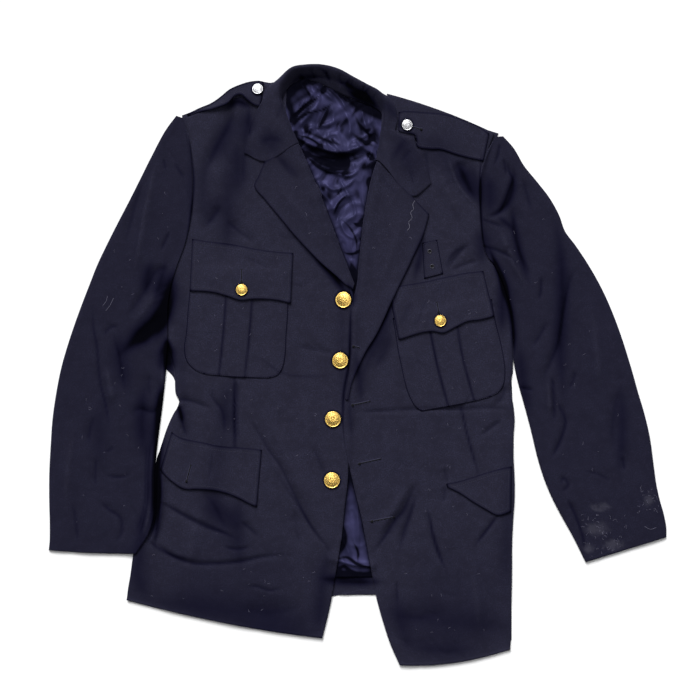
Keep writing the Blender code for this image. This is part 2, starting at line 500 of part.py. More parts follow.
def make_material(name, colour, roughness, metallic=0.0, sheen=0.0):
    material = bpy.data.materials.new(name)
    material.use_nodes = True
    shader = material.node_tree.nodes["Principled BSDF"]
    shader.inputs["Base Color"].default_value = (*colour, 1.0)
    shader.inputs["Roughness"].default_value = roughness
    shader.inputs["Metallic"].default_value = metallic
    shader.inputs["Sheen Weight"].default_value = sheen
    return material


# Tables to smooth grids

def smooth_rows(table, longest):
    """Rows of the table, with rows on a smooth curve between those far apart."""
    rows = np.array(table, dtype=float)
    reach_a = np.linalg.norm(np.diff(rows[:, 0:2], axis=0), axis=1)
    reach_b = np.linalg.norm(np.diff(rows[:, 2:4], axis=0), axis=1)
    reach = np.maximum(reach_a, reach_b)
    position = np.concatenate([[0.0], np.cumsum(reach)])
    slopes = np.gradient(rows, position, axis=0)
    result = [rows[0]]
    for index, length in enumerate(reach):
        pieces = max(1, math.ceil(length / longest))
        for piece in range(1, pieces + 1):
            t = piece / pieces
            result.append(
                (2 * t**3 - 3 * t**2 + 1) * rows[index]
                + (t**3 - 2 * t**2 + t) * length * slopes[index]
                + (3 * t**2 - 2 * t**3) * rows[index + 1]
                + (t**3 - t**2) * length * slopes[index + 1]
            )
    return np.array(result)


def quarter_round(distance, width):
    """1 at an edge and 0 at the roll's full width inside it, along a quarter circle."""
    if width <= 0:
        return np.zeros_like(distance)
    share = np.clip(distance / width, 0.0, 1.0)
    return 1.0 - np.sqrt(1.0 - (1.0 - share) ** 2)


def panel_plan(rows, columns, outer_roll, inner_roll, inset):
    """Plan of a main panel: X, Y and the distances of its points from both ends."""
    a = rows[:, 0:2]
    b = rows[:, 2:4]
    across = b - a
    width = np.linalg.norm(across, axis=1)
    direction = across / width[:, None]
    outer_inset = inset if outer_roll > 0 else 0.0
    inner_inset = inset if inner_roll > 0 else 0.0
    a = a + direction * np.minimum(outer_inset, width * 0.15)[:, None]
    b = b - direction * np.minimum(inner_inset, width * 0.15)[:, None]
    width = np.linalg.norm(b - a, axis=1)
    squeeze = np.minimum(1.0, 0.35 * width / max(outer_roll, inner_roll, 1.0))
    near = np.zeros(len(rows))
    far = width.copy()
    parts = []
    if outer_roll > 0:
        parts += [share * outer_roll * squeeze for share in ROLL_STEPS]
        near = outer_roll * squeeze
    if inner_roll > 0:
        far = width - inner_roll * squeeze
    for share in np.linspace(0.0, 1.0, columns):
        parts.append(near + (far - near) * share)
    if inner_roll > 0:
        parts += [width - share * inner_roll * squeeze for share in reversed(ROLL_STEPS)]
    along = np.stack(parts, axis=1)
    share = along / width[:, None]
    x = a[:, 0:1] + direction[:, 0:1] * along
    y = a[:, 1:2] + direction[:, 1:2] * along
    bow = 4.0 * share * (1.0 - share) * rows[:, 4:5]
    y = y - bow
    from_outer = along / squeeze[:, None]
    from_inner = (width[:, None] - along) / squeeze[:, None]
    return x, y, from_outer, from_inner


def span_plan(rows, shares):
    """Plan of a smaller piece at the given shares across it."""
    share = np.asarray(shares, dtype=float)[None, :]
    x = rows[:, 0:1] * (1 - share) + rows[:, 2:3] * share
    y = rows[:, 1:2] * (1 - share) + rows[:, 3:4] * share
    return x, y - 4.0 * share * (1 - share) * rows[:, 4:5]


def fold_heights(folds, x, y):
    """Sum of the soft folds at each point."""
    total = np.zeros_like(x)
    for fold in folds:
        start = np.array([fold.start_x, fold.start_y])
        middle = np.array([fold.middle_x, fold.middle_y])
        end = np.array([fold.end_x, fold.end_y])
        handle = 2.0 * middle - (start + end) / 2.0
        nearest = np.full(x.shape, np.inf)
        previous = start
        for t in np.linspace(0.125, 1.0, 8):
            point = (1 - t) ** 2 * start + 2 * t * (1 - t) * handle + t**2 * end
            step = point - previous
            along = ((x - previous[0]) * step[0] + (y - previous[1]) * step[1]) / (step @ step)
            along = np.clip(along, 0.0, 1.0)
            gap_x = x - previous[0] - along * step[0]
            gap_y = y - previous[1] - along * step[1]
            nearest = np.minimum(nearest, gap_x**2 + gap_y**2)
            previous = point
        total += fold.rise * np.exp(-nearest / fold.width**2)
    return total


# Laying cloth on what is under it

def grid_triangles(rows, columns):
    """Two triangles for each cell of a grid, facing up where rows run down and columns right."""
    triangles = []
    for row in range(rows - 1):
        for column in range(columns - 1):
            a = row * columns + column
            b = a + 1
            c = a + columns
            d = c + 1
            triangles.append((a, c, d))
            triangles.append((a, d, b))
    return np.array(triangles)


def surface_tree(item):
    """Search tree of a finished piece, with its modifiers."""
    graph = bpy.context.evaluated_depsgraph_get()
    return BVHTree.FromObject(item, graph)


def support_heights(x, y, trees, reach=0.0):
    """Top of the pieces under each point and within reach of it, the table being at 0."""
    down = Vector((0.0, 0.0, -1.0))
    shifts = [(0.0, 0.0)]
    if reach > 0:
        shifts += [(reach, 0.0), (-reach, 0.0), (0.0, reach), (0.0, -reach)]
    heights = np.zeros(x.size)
    flat_x = x.ravel()
    flat_y = y.ravel()
    for index in range(x.size):
        for shift_x, shift_y in shifts:
            start = Vector(
                ((flat_x[index] + shift_x) * MM, (flat_y[index] + shift_y) * MM, 0.2)
            )
            for tree in trees:
                hit = tree.ray_cast(start, down)[0]
                if hit is not None:
                    heights[index] = max(heights[index], hit.z / MM)
    return heights.reshape(x.shape)


def settle(x, y, z, triangles, trees, gap, steps=SAMPLES_PER_EDGE, rounds=160):
    """Raise grid heights until every triangle clears what is under it by the gap."""
    weights = []
    for i in range(steps + 1):
        for j in range(steps + 1 - i):
            weights.append((i / steps, j / steps, (steps - i - j) / steps))
    weights = np.array(weights)
    flat_x = x.ravel()
    flat_y = y.ravel()
    heights = z.ravel().copy()
    sample_x = flat_x[triangles] @ weights.T
    sample_y = flat_y[triangles] @ weights.T
    floor = support_heights(sample_x, sample_y, trees, SIDE_REACH) + gap
    spread = (weights**2).sum(axis=1)
    for _ in range(rounds):
        short = floor - heights[triangles] @ weights.T
        worst = short.max()
        if worst < 0.01:
            break
        push = np.clip(short, 0.0, None) / spread
        raised = np.zeros_like(heights)
        for corner in range(3):
            amount = (push * weights[:, corner]).max(axis=1)
            np.maximum.at(raised, triangles[:, corner], amount)
        heights += raised
    return heights.reshape(z.shape)


def cloth(name, x, y, z, wall, material, collection, turn=False):
    """A closed wall of cloth over a grid of its underside."""
    rows, columns = x.shape
    triangles = grid_triangles(rows, columns)
    if turn:
        triangles = triangles[:, ::-1]
    points = np.stack([x.ravel(), y.ravel(), z.ravel()], axis=1) * MM
    mesh = bpy.data.meshes.new(name)
    mesh.from_pydata(points.tolist(), [], triangles.tolist())
    mesh.update()
    item = bpy.data.objects.new(name, mesh)
    collection.objects.link(item)
    mesh.materials.append(material)
    mesh.set_sharp_from_angle(angle=math.radians(50))
    for polygon in mesh.polygons:
        polygon.use_smooth = True
    thickness = item.modifiers.new("Wall", "SOLIDIFY")
    thickness.thickness = wall * MM
    thickness.offset = 1.0
    thickness.use_rim = True
    thickness.use_quality_normals = True
    bpy.context.view_layer.update()
    return item


# Main panels

def main_panel(name, table, columns, wall, folds, under, material, collection,
               rolls=(SIDE_ROLL, 0.0), start_edge=None, base=None, mirrored=False):
    """A main panel of the body or a sleeve, laid on the pieces under it."""
    rows = smooth_rows(table, LONGEST_STEP)
    if start_edge is not None:
        first = rows[0]
        second = rows[1]
        length = np.linalg.norm((second - first)[0:4].reshape(2, 2), axis=1).mean()
        extra = [first + (second - first) * share * SIDE_ROLL / length for share in ROLL_STEPS]
        rows = np.vstack([extra, rows[1:]])
    x, y, from_outer, from_inner = panel_plan(rows, columns, rolls[0], rolls[1], wall)
    lift = rows[:, 5:6]
    z = lift + np.zeros_like(x)
    outer_width = rolls[0] if rolls[0] > 0 else SIDE_ROLL
    inner_width = rolls[1] if rolls[1] > 0 else SIDE_ROLL
    z += (rows[:, 6:7] - lift) * quarter_round(from_outer, outer_width)
    z += (rows[:, 7:8] - lift) * quarter_round(from_inner, inner_width)
    if start_edge is not None:
        run = np.hypot(x - x[0:1], y - y[0:1])
        z += (start_edge - z) * quarter_round(run, SIDE_ROLL)
    edge_fade = np.clip(np.minimum(from_outer, from_inner) / SIDE_ROLL, 0.15, 1.0)
    z += fold_heights(folds, x, y) * edge_fade
    if base is not None:
        z += base
    triangles = grid_triangles(*x.shape)
    z = settle(x, y, z, triangles, [surface_tree(item) for item in under], LAYER_GAP)
    return cloth(name, x, y, z, wall, material, collection, turn=mirrored)


def under_sleeve(name, table, columns, under, material, collection, mirrored=False):
    """Lower half of a sleeve. It lies on the table and over the skirt beside it."""
    rows = smooth_rows(table, LONGEST_STEP)
    x, y, _, _ = panel_plan(rows, columns, 0.1, 0.1, WOOL_WALL)
    keep = [0] + list(range(len(ROLL_STEPS), x.shape[1] - len(ROLL_STEPS))) + [x.shape[1] - 1]
    x = x[:, keep]
    y = y[:, keep]
    triangles = grid_triangles(*x.shape)
    z = settle(x, y, np.zeros_like(x), triangles, [surface_tree(item) for item in under], 0.0)
    lifted = z > 0.01
    z = np.where(lifted, z + LAYER_GAP, 0.0)
    return cloth(name, x, y, z, WOOL_WALL, material, collection, turn=mirrored)


def make_back(material, collection):
    """The back, flat on the table, from the neck seam and shoulders to the hem."""
    top = np.array(BACK_TOP)
    hem = np.array(BACK_HEM)
    sides = np.array(BACK_SIDES)
    shares = np.linspace(0.0, 1.0, 16)
    shoulder_y = sides[0, 0]
    top_x = top[0, 0] + (top[-1, 0] - top[0, 0]) * shares
    top_y = np.interp(top_x, top[:, 0], top[:, 1])
    first_x = sides[0, 1] + (sides[0, 2] - sides[0, 1]) * shares
    rows_x = []
    rows_y = []
    for blend in (0.0, 0.35, 0.7):
        rows_x.append(top_x * (1 - blend) + first_x * blend)
        rows_y.append(top_y * (1 - blend) + shoulder_y * blend)
    for width in sides[:-1]:
        rows_x.append(width[1] + (width[2] - width[1]) * shares)
        rows_y.append(np.full_like(shares, width[0]))
    last = sides[-1]
    hem_x = last[1] + (last[2] - last[1]) * shares
    rows_x.append(hem_x)
    rows_y.append(np.interp(hem_x, hem[:, 0], hem[:, 1]))
    x = np.array(rows_x)
    y = np.array(rows_y)
    return cloth("back", x, y, np.zeros_like(x), WOOL_WALL, material, collection)


def make_lining(under, material, collection):
    """Satin lining of the back where the open fronts show it."""
    rows = smooth_rows(LINING, 34.0)
    share = np.linspace(0.0, 1.0, 11)[None, :]
    x, y = span_plan(rows, share[0])
    inside = np.clip(np.minimum(share, 1.0 - share) / 0.2, 0.0, 1.0)
    z = WOOL_WALL + LAYER_GAP + fold_heights(FOLDS_LINING, x, y) * inside
    triangles = grid_triangles(*x.shape)
    z = settle(x, y, z, triangles, [surface_tree(item) for item in under], LAYER_GAP)
    return cloth("back_lining", x, y, z, LINING_WALL, material, collection)


# Pieces sewn on the panels

def sewn_piece(name, table, shares, wall, under, material, collection, rises=None,
               open_rise=0.0, longest=60.0, turn=False):
    """A piece that follows the panel under it, a layer gap away."""
    rows = smooth_rows(table, longest)
    x, y = span_plan(rows, shares)
    trees = [surface_tree(item) for item in under]
    z = support_heights(x, y, trees) + LAYER_GAP
    if rises is not None:
        z = z + rises(x.shape)
    z = z + open_rise * np.asarray(shares)[None, :] ** 2
    triangles = grid_triangles(*x.shape)
    if turn:
        triangles = triangles[:, ::-1]
    z = settle(x, y, z, triangles, trees, LAYER_GAP, steps=FINE_SAMPLES_PER_EDGE)
    return cloth(name, x, y, z, wall, material, collection, turn=turn)


def pleat_rises(shape):
    return np.repeat(np.array(PLEAT_RISE)[None, :], shape[0], axis=0)


def wave_rises(shape):
    share = np.linspace(0.0, 1.0, shape[0])
    wave = np.array(WAVE)
    return np.repeat(np.interp(share, wave[:, 0], wave[:, 1])[:, None], shape[1], axis=1)


def make_lapel(name, table, under, material, collection, turn):
    """A lapel, rolled down at its roll line and lying on the front."""
    rows = np.array(table, dtype=float)
    across = rows[:, 2:4] - rows[:, 0:2]
    width = np.linalg.norm(across, axis=1)
    direction = across / width[:, None]
    start = rows[:, 0:2] + direction * np.minimum(FRONT_WALL, width * 0.1)[:, None]
    width = np.linalg.norm(rows[:, 2:4] - start, axis=1)
    squeeze = np.minimum(1.0, 0.45 * width / LAPEL_ROLL)
    steps = [share * LAPEL_ROLL * squeeze for share in ROLL_STEPS]
    for share in np.linspace(0.0, 1.0, 6):
        steps.append(LAPEL_ROLL * squeeze + (width - LAPEL_ROLL * squeeze) * share)
    along = np.stack(steps, axis=1)
    share = along / width[:, None]
    x = start[:, 0:1] + direction[:, 0:1] * along
    y = start[:, 1:2] + direction[:, 1:2] * along - 4.0 * share * (1 - share) * rows[:, 4:5]
    trees = [surface_tree(item) for item in under]
    inside = quarter_round(along / squeeze[:, None], LAPEL_ROLL)
    top = 7.6
    z = top + (3.4 - top) * inside
    triangles = grid_triangles(*x.shape)
    z = settle(x, y, z, triangles, trees, LAYER_GAP)
    return cloth(name, x, y, z, COLLAR_WALL, material, collection, turn=turn)


def collar_section(station):
    """Points across the collar: up the stand, over the roll and down the fall."""
    knots = np.array(station).reshape(4, 3)
    slopes = np.zeros_like(knots)
    lengths = np.linalg.norm(np.diff(knots, axis=0), axis=1)
    slopes[0] = (knots[1] - knots[0]) / lengths[0]
    slopes[3] = (knots[3] - knots[2]) / lengths[2]
    for index in (1, 2):
        before = (knots[index] - knots[index - 1]) / lengths[index - 1]
        after = (knots[index + 1] - knots[index]) / lengths[index]
        slopes[index] = (before + after) / 2.0
    points = [knots[0]]
    for index in range(3):
        for t in (1 / 3, 2 / 3, 1.0):
            points.append(
                (2 * t**3 - 3 * t**2 + 1) * knots[index]
                + (t**3 - 2 * t**2 + t) * lengths[index] * slopes[index]
                + (3 * t**2 - 2 * t**3) * knots[index + 1]
                + (t**3 - t**2) * lengths[index] * slopes[index + 1]
            )
    return np.array(points)


def make_collar(under, material, collection):
    """The collar: its fall lies on both fronts and its stand rises behind the neck."""
    sections = np.array([collar_section(station) for station in COLLAR])
    x = sections[:, :, 0]
    y = sections[:, :, 1]
    z = sections[:, :, 2]
    triangles = grid_triangles(*x.shape)
    rows_of = triangles[:, 0] // x.shape[1]
    lies_flat = (rows_of < 5) | (rows_of >= 13)
    trees = [surface_tree(item) for item in under]
    z = settle(x, y, z, triangles[lies_flat], trees, LAYER_GAP)
    return cloth("collar", x, y, z, COLLAR_WALL, material, collection)


# Metal parts

def lathe(name, profile, segments, material, collection):
    """A turned solid from a profile of radius and height pairs that starts and ends on its axis."""
    mesh = bpy.data.meshes.new(name)
    shape = bmesh.new()
    verts = [shape.verts.new((radius * MM, 0.0, height * MM)) for radius, height in profile]
    edges = [shape.edges.new(pair) for pair in zip(verts[:-1], verts[1:])]
    closed = profile[0][0] > 0
    if closed:
        edges.append(shape.edges.new((verts[-1], verts[0])))
    bmesh.ops.spin(
        shape, geom=verts + edges, cent=(0, 0, 0), axis=(0, 0, 1), angle=2 * math.pi,
        steps=segments, use_merge=True,
    )
    bmesh.ops.remove_doubles(shape, verts=shape.verts, dist=0.00001)
    bmesh.ops.recalc_face_normals(shape, faces=shape.faces)
    for face in shape.faces:
        face.smooth = True
    shape.to_mesh(mesh)
    shape.free()
    mesh.set_sharp_from_angle(angle=math.radians(40))
    item = bpy.data.objects.new(name, mesh)
    collection.objects.link(item)
    mesh.materials.append(material)
    return item


def seat(item, x, y, radius, trees):
    """Set a small round part on the cloth, square to it and a seat gap above it."""
    reach = radius * 0.8
    near_x = np.array([x + reach, x - reach, x, x])
    near_y = np.array([y, y, y + reach, y - reach])
    level = support_heights(near_x, near_y, trees)
    slope_x = np.clip((level[0] - level[1]) / (2 * reach), -0.2, 0.2)
    slope_y = np.clip((level[2] - level[3]) / (2 * reach), -0.2, 0.2)
    normal = Vector((-slope_x, -slope_y, 1.0)).normalized()
    turn = Vector((0, 0, 1)).rotation_difference(normal).to_matrix().to_4x4()
    item.data.transform(turn)
    lowest = np.array([tuple(vertex.co) for vertex in item.data.vertices]) / MM
    floor = support_heights(lowest[:, 0] + x, lowest[:, 1] + y, trees, SEAT_REACH)
    rise = (floor - lowest[:, 2]).max() + SEAT_GAP
    item.data.transform(Matrix.Translation((x * MM, y * MM, rise * MM)))
    item.data.update()


def button_profile(diameter):
    """A domed button with a raised rim on a short round shank plate."""
    radius = diameter / 2
    return [
        (0.0, 0.0),
        (radius * 0.42, 0.0),
        (radius * 0.42, 1.0),
        (radius * 0.94, 1.3),
        (radius, 2.2),
        (radius * 0.93, 3.0),
        (radius * 0.84, 2.7),
        (radius * 0.55, 3.6),
        (0.0, 4.1),
    ]


def make_button(spot, diameter, segments, trees, material, collection):
    item = lathe(spot.name, button_profile(diameter), segments, material, collection)
    seat(item, spot.x, spot.y, diameter / 2, trees)
    return item


def make_eyelet(spot, trees, material, collection):
    outer = EYELET_DIAMETER / 2
    inner = EYELET_HOLE / 2
    profile = [(inner, 0.0), (outer, 0.0), (outer - 0.3, 0.8), (inner + 0.7, 1.1), (inner, 0.6)]
    item = lathe(spot.name, profile, 12, material, collection)
    seat(item, spot.x, spot.y, outer, trees)
    return item


def cut_hole(target, spot, diameter, cutters):
    """A round hole through the cloth under an eyelet."""
    mesh = bpy.data.meshes.new(spot.name + "_cutter")
    shape = bmesh.new()
    bmesh.ops.create_cone(
        shape, cap_ends=True, segments=12, radius1=diameter / 2 * MM,
        radius2=diameter / 2 * MM, depth=0.06,
    )
    shape.to_mesh(mesh)
    shape.free()
    cutter = bpy.data.objects.new(spot.name + "_cutter", mesh)
    cutter.location = (spot.x * MM, spot.y * MM, 0.01)
    cutter.hide_render = True
    cutter.display_type = "WIRE"
    cutters.objects.link(cutter)
    cut = target.modifiers.new("Hole " + spot.name, "BOOLEAN")
    cut.operation = "DIFFERENCE"
    cut.solver = "EXACT"
    cut.object = cutter


def main():
    clear_scene()
    jacket = make_collection("firefighter_dress_jacket")
    cutters = make_collection("cutters")

    wool = (0.017, 0.016, 0.03)
    satin = (0.036, 0.034, 0.08)
    gold = (0.66, 0.43, 0.08)
    silver = (0.62, 0.62, 0.62)

    def wool_for(piece):
        return make_material("wool " + piece, wool, 0.85, sheen=0.2)

    back = make_back(wool_for("back"), jacket)
    lining = make_lining([back], make_material("satin lining", satin, 0.35), jacket)
    front_right = main_panel(
        "front_right", FRONT_RIGHT, 10, FRONT_WALL, FOLDS_FRONT_RIGHT, [back, lining],
        wool_for("right front"), jacket, start_edge=2.2,
    )
    front_left = main_panel(
        "front_left", FRONT_LEFT, 10, FRONT_WALL, FOLDS_FRONT_LEFT,
        [back, lining, front_right], wool_for("left front"), jacket,
        rolls=(SIDE_ROLL, FRONT_EDGE_ROLL), start_edge=2.2, mirrored=True,
    )

    body = [back, front_right, front_left]
    for side, table, folds, mirrored in (
        ("right", SLEEVE_RIGHT, FOLDS_SLEEVE_RIGHT, False),
        ("left", SLEEVE_LEFT, FOLDS_SLEEVE_LEFT, True),
    ):
        under = under_sleeve(
            "under_sleeve_" + side, table, 5, body, wool_for(side + " under sleeve"), jacket,
            mirrored=mirrored,
        )
        main_panel(
            "top_sleeve_" + side, table, 7, WOOL_WALL, folds, [under] + body,
            wool_for(side + " top sleeve"), jacket, rolls=(SIDE_ROLL, SIDE_ROLL),
            mirrored=mirrored,
        )

    even = np.linspace(0.0, 1.0, 6)
    tops = {}
    for side, front in (("right", front_right), ("left", front_left)):
        patch_table = CHEST_PATCH_RIGHT if side == "right" else CHEST_PATCH_LEFT
        flap_table = CHEST_FLAP_RIGHT if side == "right" else CHEST_FLAP_LEFT
        lower_table = LOWER_FLAP_RIGHT if side == "right" else LOWER_FLAP_LEFT
        patch = sewn_piece(
            "chest_pocket_" + side, patch_table, PLEAT_COLUMNS, WOOL_WALL, [front],
            wool_for(side + " chest pocket"), jacket, rises=pleat_rises,
        )
        tops["flap_" + side] = sewn_piece(
            "chest_flap_" + side, flap_table, even, FLAP_WALL, [front, patch],
            wool_for(side + " chest flap"), jacket, open_rise=0.6, turn=True,
        )
        sewn_piece(
            "lower_flap_" + side, lower_table, even, FLAP_WALL, [front],
            wool_for(side + " lower flap"), jacket, open_rise=0.8, turn=True,
        )

    epaulette_shares = (0.0, 0.12, 0.32, 0.55, 0.78, 1.0)
    epaulette_right = sewn_piece(
        "epaulette_right", EPAULETTE_RIGHT, epaulette_shares, FLAP_WALL,
        [back, front_right], wool_for("right epaulette"), jacket, rises=wave_rises, turn=True,
    )
    epaulette_left = sewn_piece(
        "epaulette_left", EPAULETTE_LEFT, epaulette_shares, FLAP_WALL,
        [back, front_left], wool_for("left epaulette"), jacket, turn=True,
    )

    make_lapel(
        "lapel_right", LAPEL_RIGHT, [back, lining, front_right, tops["flap_right"]],
        wool_for("right lapel"), jacket, turn=True,
    )
    make_lapel(
        "lapel_left", LAPEL_LEFT,
        [back, lining, front_right, front_left, tops["flap_left"]],
        wool_for("left lapel"), jacket, turn=False,
    )
    make_collar(
        [back, lining, front_right, front_left, epaulette_right, epaulette_left],
        wool_for("collar"), jacket,
    )

    tab = sewn_piece(
        "badge_tab", BADGE_TAB, np.linspace(0, 1, 4), WOOL_WALL, [front_left],
        wool_for("badge tab"), jacket, longest=20.0,
    )
    trees = [surface_tree(front_left), surface_tree(tab)]
    for spot in EYELETS:
        make_eyelet(spot, trees, make_material("steel " + spot.name, silver, 0.3, 1.0), jacket)
    for spot in EYELETS:
        cut_hole(tab, spot, EYELET_HOLE, cutters)

    for spot in FRONT_BUTTONS:
        make_button(
            spot, FRONT_BUTTON_DIAMETER, 16, [surface_tree(front_right)],
            make_material("gold " + spot.name, gold, 0.3, 1.0), jacket,
        )
    for spot, side in zip(POCKET_BUTTONS, ("right", "left")):
        make_button(
            spot, POCKET_BUTTON_DIAMETER, 12, [surface_tree(tops["flap_" + side])],
            make_material("gold " + spot.name, gold, 0.3, 1.0), jacket,
        )
    for spot, piece in zip(SHOULDER_BUTTONS, (epaulette_right, epaulette_left)):
        make_button(
            spot, SHOULDER_BUTTON_DIAMETER, 12, [surface_tree(piece)],
            make_material("silver " + spot.name, silver, 0.28, 1.0), jacket,
        )


main()
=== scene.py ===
"""Looks of a firefighter dress jacket, laid flat and unfastened with its front up.

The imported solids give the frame. Every cloth solid is replaced by a dense thin shell on
the same form with its creases, seams, stitches and weave, and every button and eyelet by
a detailed one. The tables are in millimetres, apart from the paths of creases and strokes,
which are in drawn steps, and the scene is in metres.
"Right" and "left" are the wearer's, so the right front is on the viewer's left.
"""
import functools
import logging
import math
from dataclasses import dataclass, field
from enum import Enum

import bmesh
import bpy
import numpy as np
from mathutils import Matrix, Vector
from mathutils.bvhtree import BVHTree


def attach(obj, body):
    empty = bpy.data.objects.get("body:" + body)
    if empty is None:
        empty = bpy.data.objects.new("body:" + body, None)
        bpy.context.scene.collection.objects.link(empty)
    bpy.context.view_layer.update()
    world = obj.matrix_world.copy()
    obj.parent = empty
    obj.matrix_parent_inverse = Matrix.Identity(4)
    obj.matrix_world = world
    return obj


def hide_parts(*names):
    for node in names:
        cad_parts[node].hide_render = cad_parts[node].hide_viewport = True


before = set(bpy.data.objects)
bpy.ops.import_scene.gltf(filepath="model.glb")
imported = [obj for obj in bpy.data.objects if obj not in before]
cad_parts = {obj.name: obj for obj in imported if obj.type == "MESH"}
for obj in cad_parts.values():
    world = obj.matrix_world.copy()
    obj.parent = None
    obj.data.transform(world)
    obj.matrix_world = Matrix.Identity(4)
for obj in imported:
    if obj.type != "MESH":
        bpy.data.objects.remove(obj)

LOG = logging.getLogger("dress_jacket")
MM = 0.001
BODY = "root"
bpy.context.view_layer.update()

Array = np.ndarray
Object = bpy.types.Object
Material = bpy.types.Material
Socket = bpy.types.NodeSocket
Colour = tuple[float, float, float, float]
Box = tuple[float, float, float, float]
Pair = tuple[float, float]
Table = tuple[tuple[float, ...], ...]
Names = tuple[str, ...]
Layer = tuple[Socket, float, float, float, str]

# Steps of the grids that the cloth is laid out on
GRID_STEP = 2.6
FINE_STEP = 2.0
LINING_STEP = 1.75
HIDDEN_STEP = 6.0
# Cloth
LAYER_GAP = 0.25
WOOL_WALL = 1.5
FRONT_WALL = 2.0
COLLAR_WALL = 2.0
FLAP_WALL = 2.2
LINING_WALL = 0.6
# Step of the grid that creases and strokes are drawn on
DRAWN_STEP = 1.43
# Reach of the rounding at the sides, at a seam and at a cut edge
SIDE_ROLL = 8.0
SEAM_ROLL = 3.5
EDGE_ROLL = 2.6
# Camera
PHOTO_SIDE = 700
PHOTO_SCALE = DRAWN_STEP
VIEW_CENTRE = (-10.0, 22.2)
CAMERA_HEIGHT = 3600.0


def linear(hexadecimal: str) -> Colour:
    """Turn an sRGB colour, as "#rrggbb", into the linear values that a shader takes."""
    channels = [int(hexadecimal[i : i + 2], 16) / 255 for i in (1, 3, 5)]
    values = [c / 12.92 if c <= 0.04045 else ((c + 0.055) / 1.055) ** 2.4 for c in channels]
    return (values[0], values[1], values[2], 1.0)


# Finishes

SMOOTH = {"interpolation_type": "SMOOTHSTEP"}


class Dress:
    """Small builder of one node material."""

    def __init__(self, name: str) -> None:
        """Start an empty material with its output and shader."""
        self.material = bpy.data.materials.new(name)
        self.material.use_nodes = True
        self.tree = self.material.node_tree
        self.tree.nodes.clear()
        output = self.tree.nodes.new("ShaderNodeOutputMaterial")
        self.shader = self.tree.nodes.new("ShaderNodeBsdfPrincipled")
        self.tree.links.new(self.shader.outputs[0], output.inputs[0])

    def feed(self, node: bpy.types.Node, inputs: dict) -> None:
        """Give a node's inputs, by name or number, the value or the socket for each."""
        for key, value in inputs.items():
            if isinstance(value, Socket):
                self.tree.links.new(value, node.inputs[key])
            else:
                node.inputs[key].default_value = value

    def add(self, kind: str, inputs: dict, output: int | str = 0, **settings: str) -> Socket:
        """Add one node.

        Args:
            kind: Its type, without the words that all types start with.
            inputs: Value or socket of each input, by name or number.
            output: Name or number of the output that is used.
            settings: Its properties.

        Returns:
            The socket of that output.
        """
        node = self.tree.nodes.new("ShaderNode" + kind)
        for key, value in settings.items():
            setattr(node, key, value)
        self.feed(node, inputs)
        return node.outputs[output]

    def layered(self, base: str, *layers: Layer) -> Socket:
        """Lay colours over a base colour, each where its mask says.

        Args:
            base: The base colour.
            layers: Mask, its values at no colour and at most colour, that most, the colour.

        Returns:
            The socket of the final colour.
        """
        tone = linear(base)
        for mask, low, high, most, colour in layers:
            share = self.add("MapRange", {0: mask, 1: low, 2: high, 4: most}, **SMOOTH)
            tone = self.add("Mix", {0: share, 6: tone, 7: linear(colour)}, 2, data_type="RGBA")
        return tone

    def finish(self, inputs: dict) -> Material:
        """Feed the shader's inputs and give the material."""
        self.feed(self.shader, inputs)
        return self.material


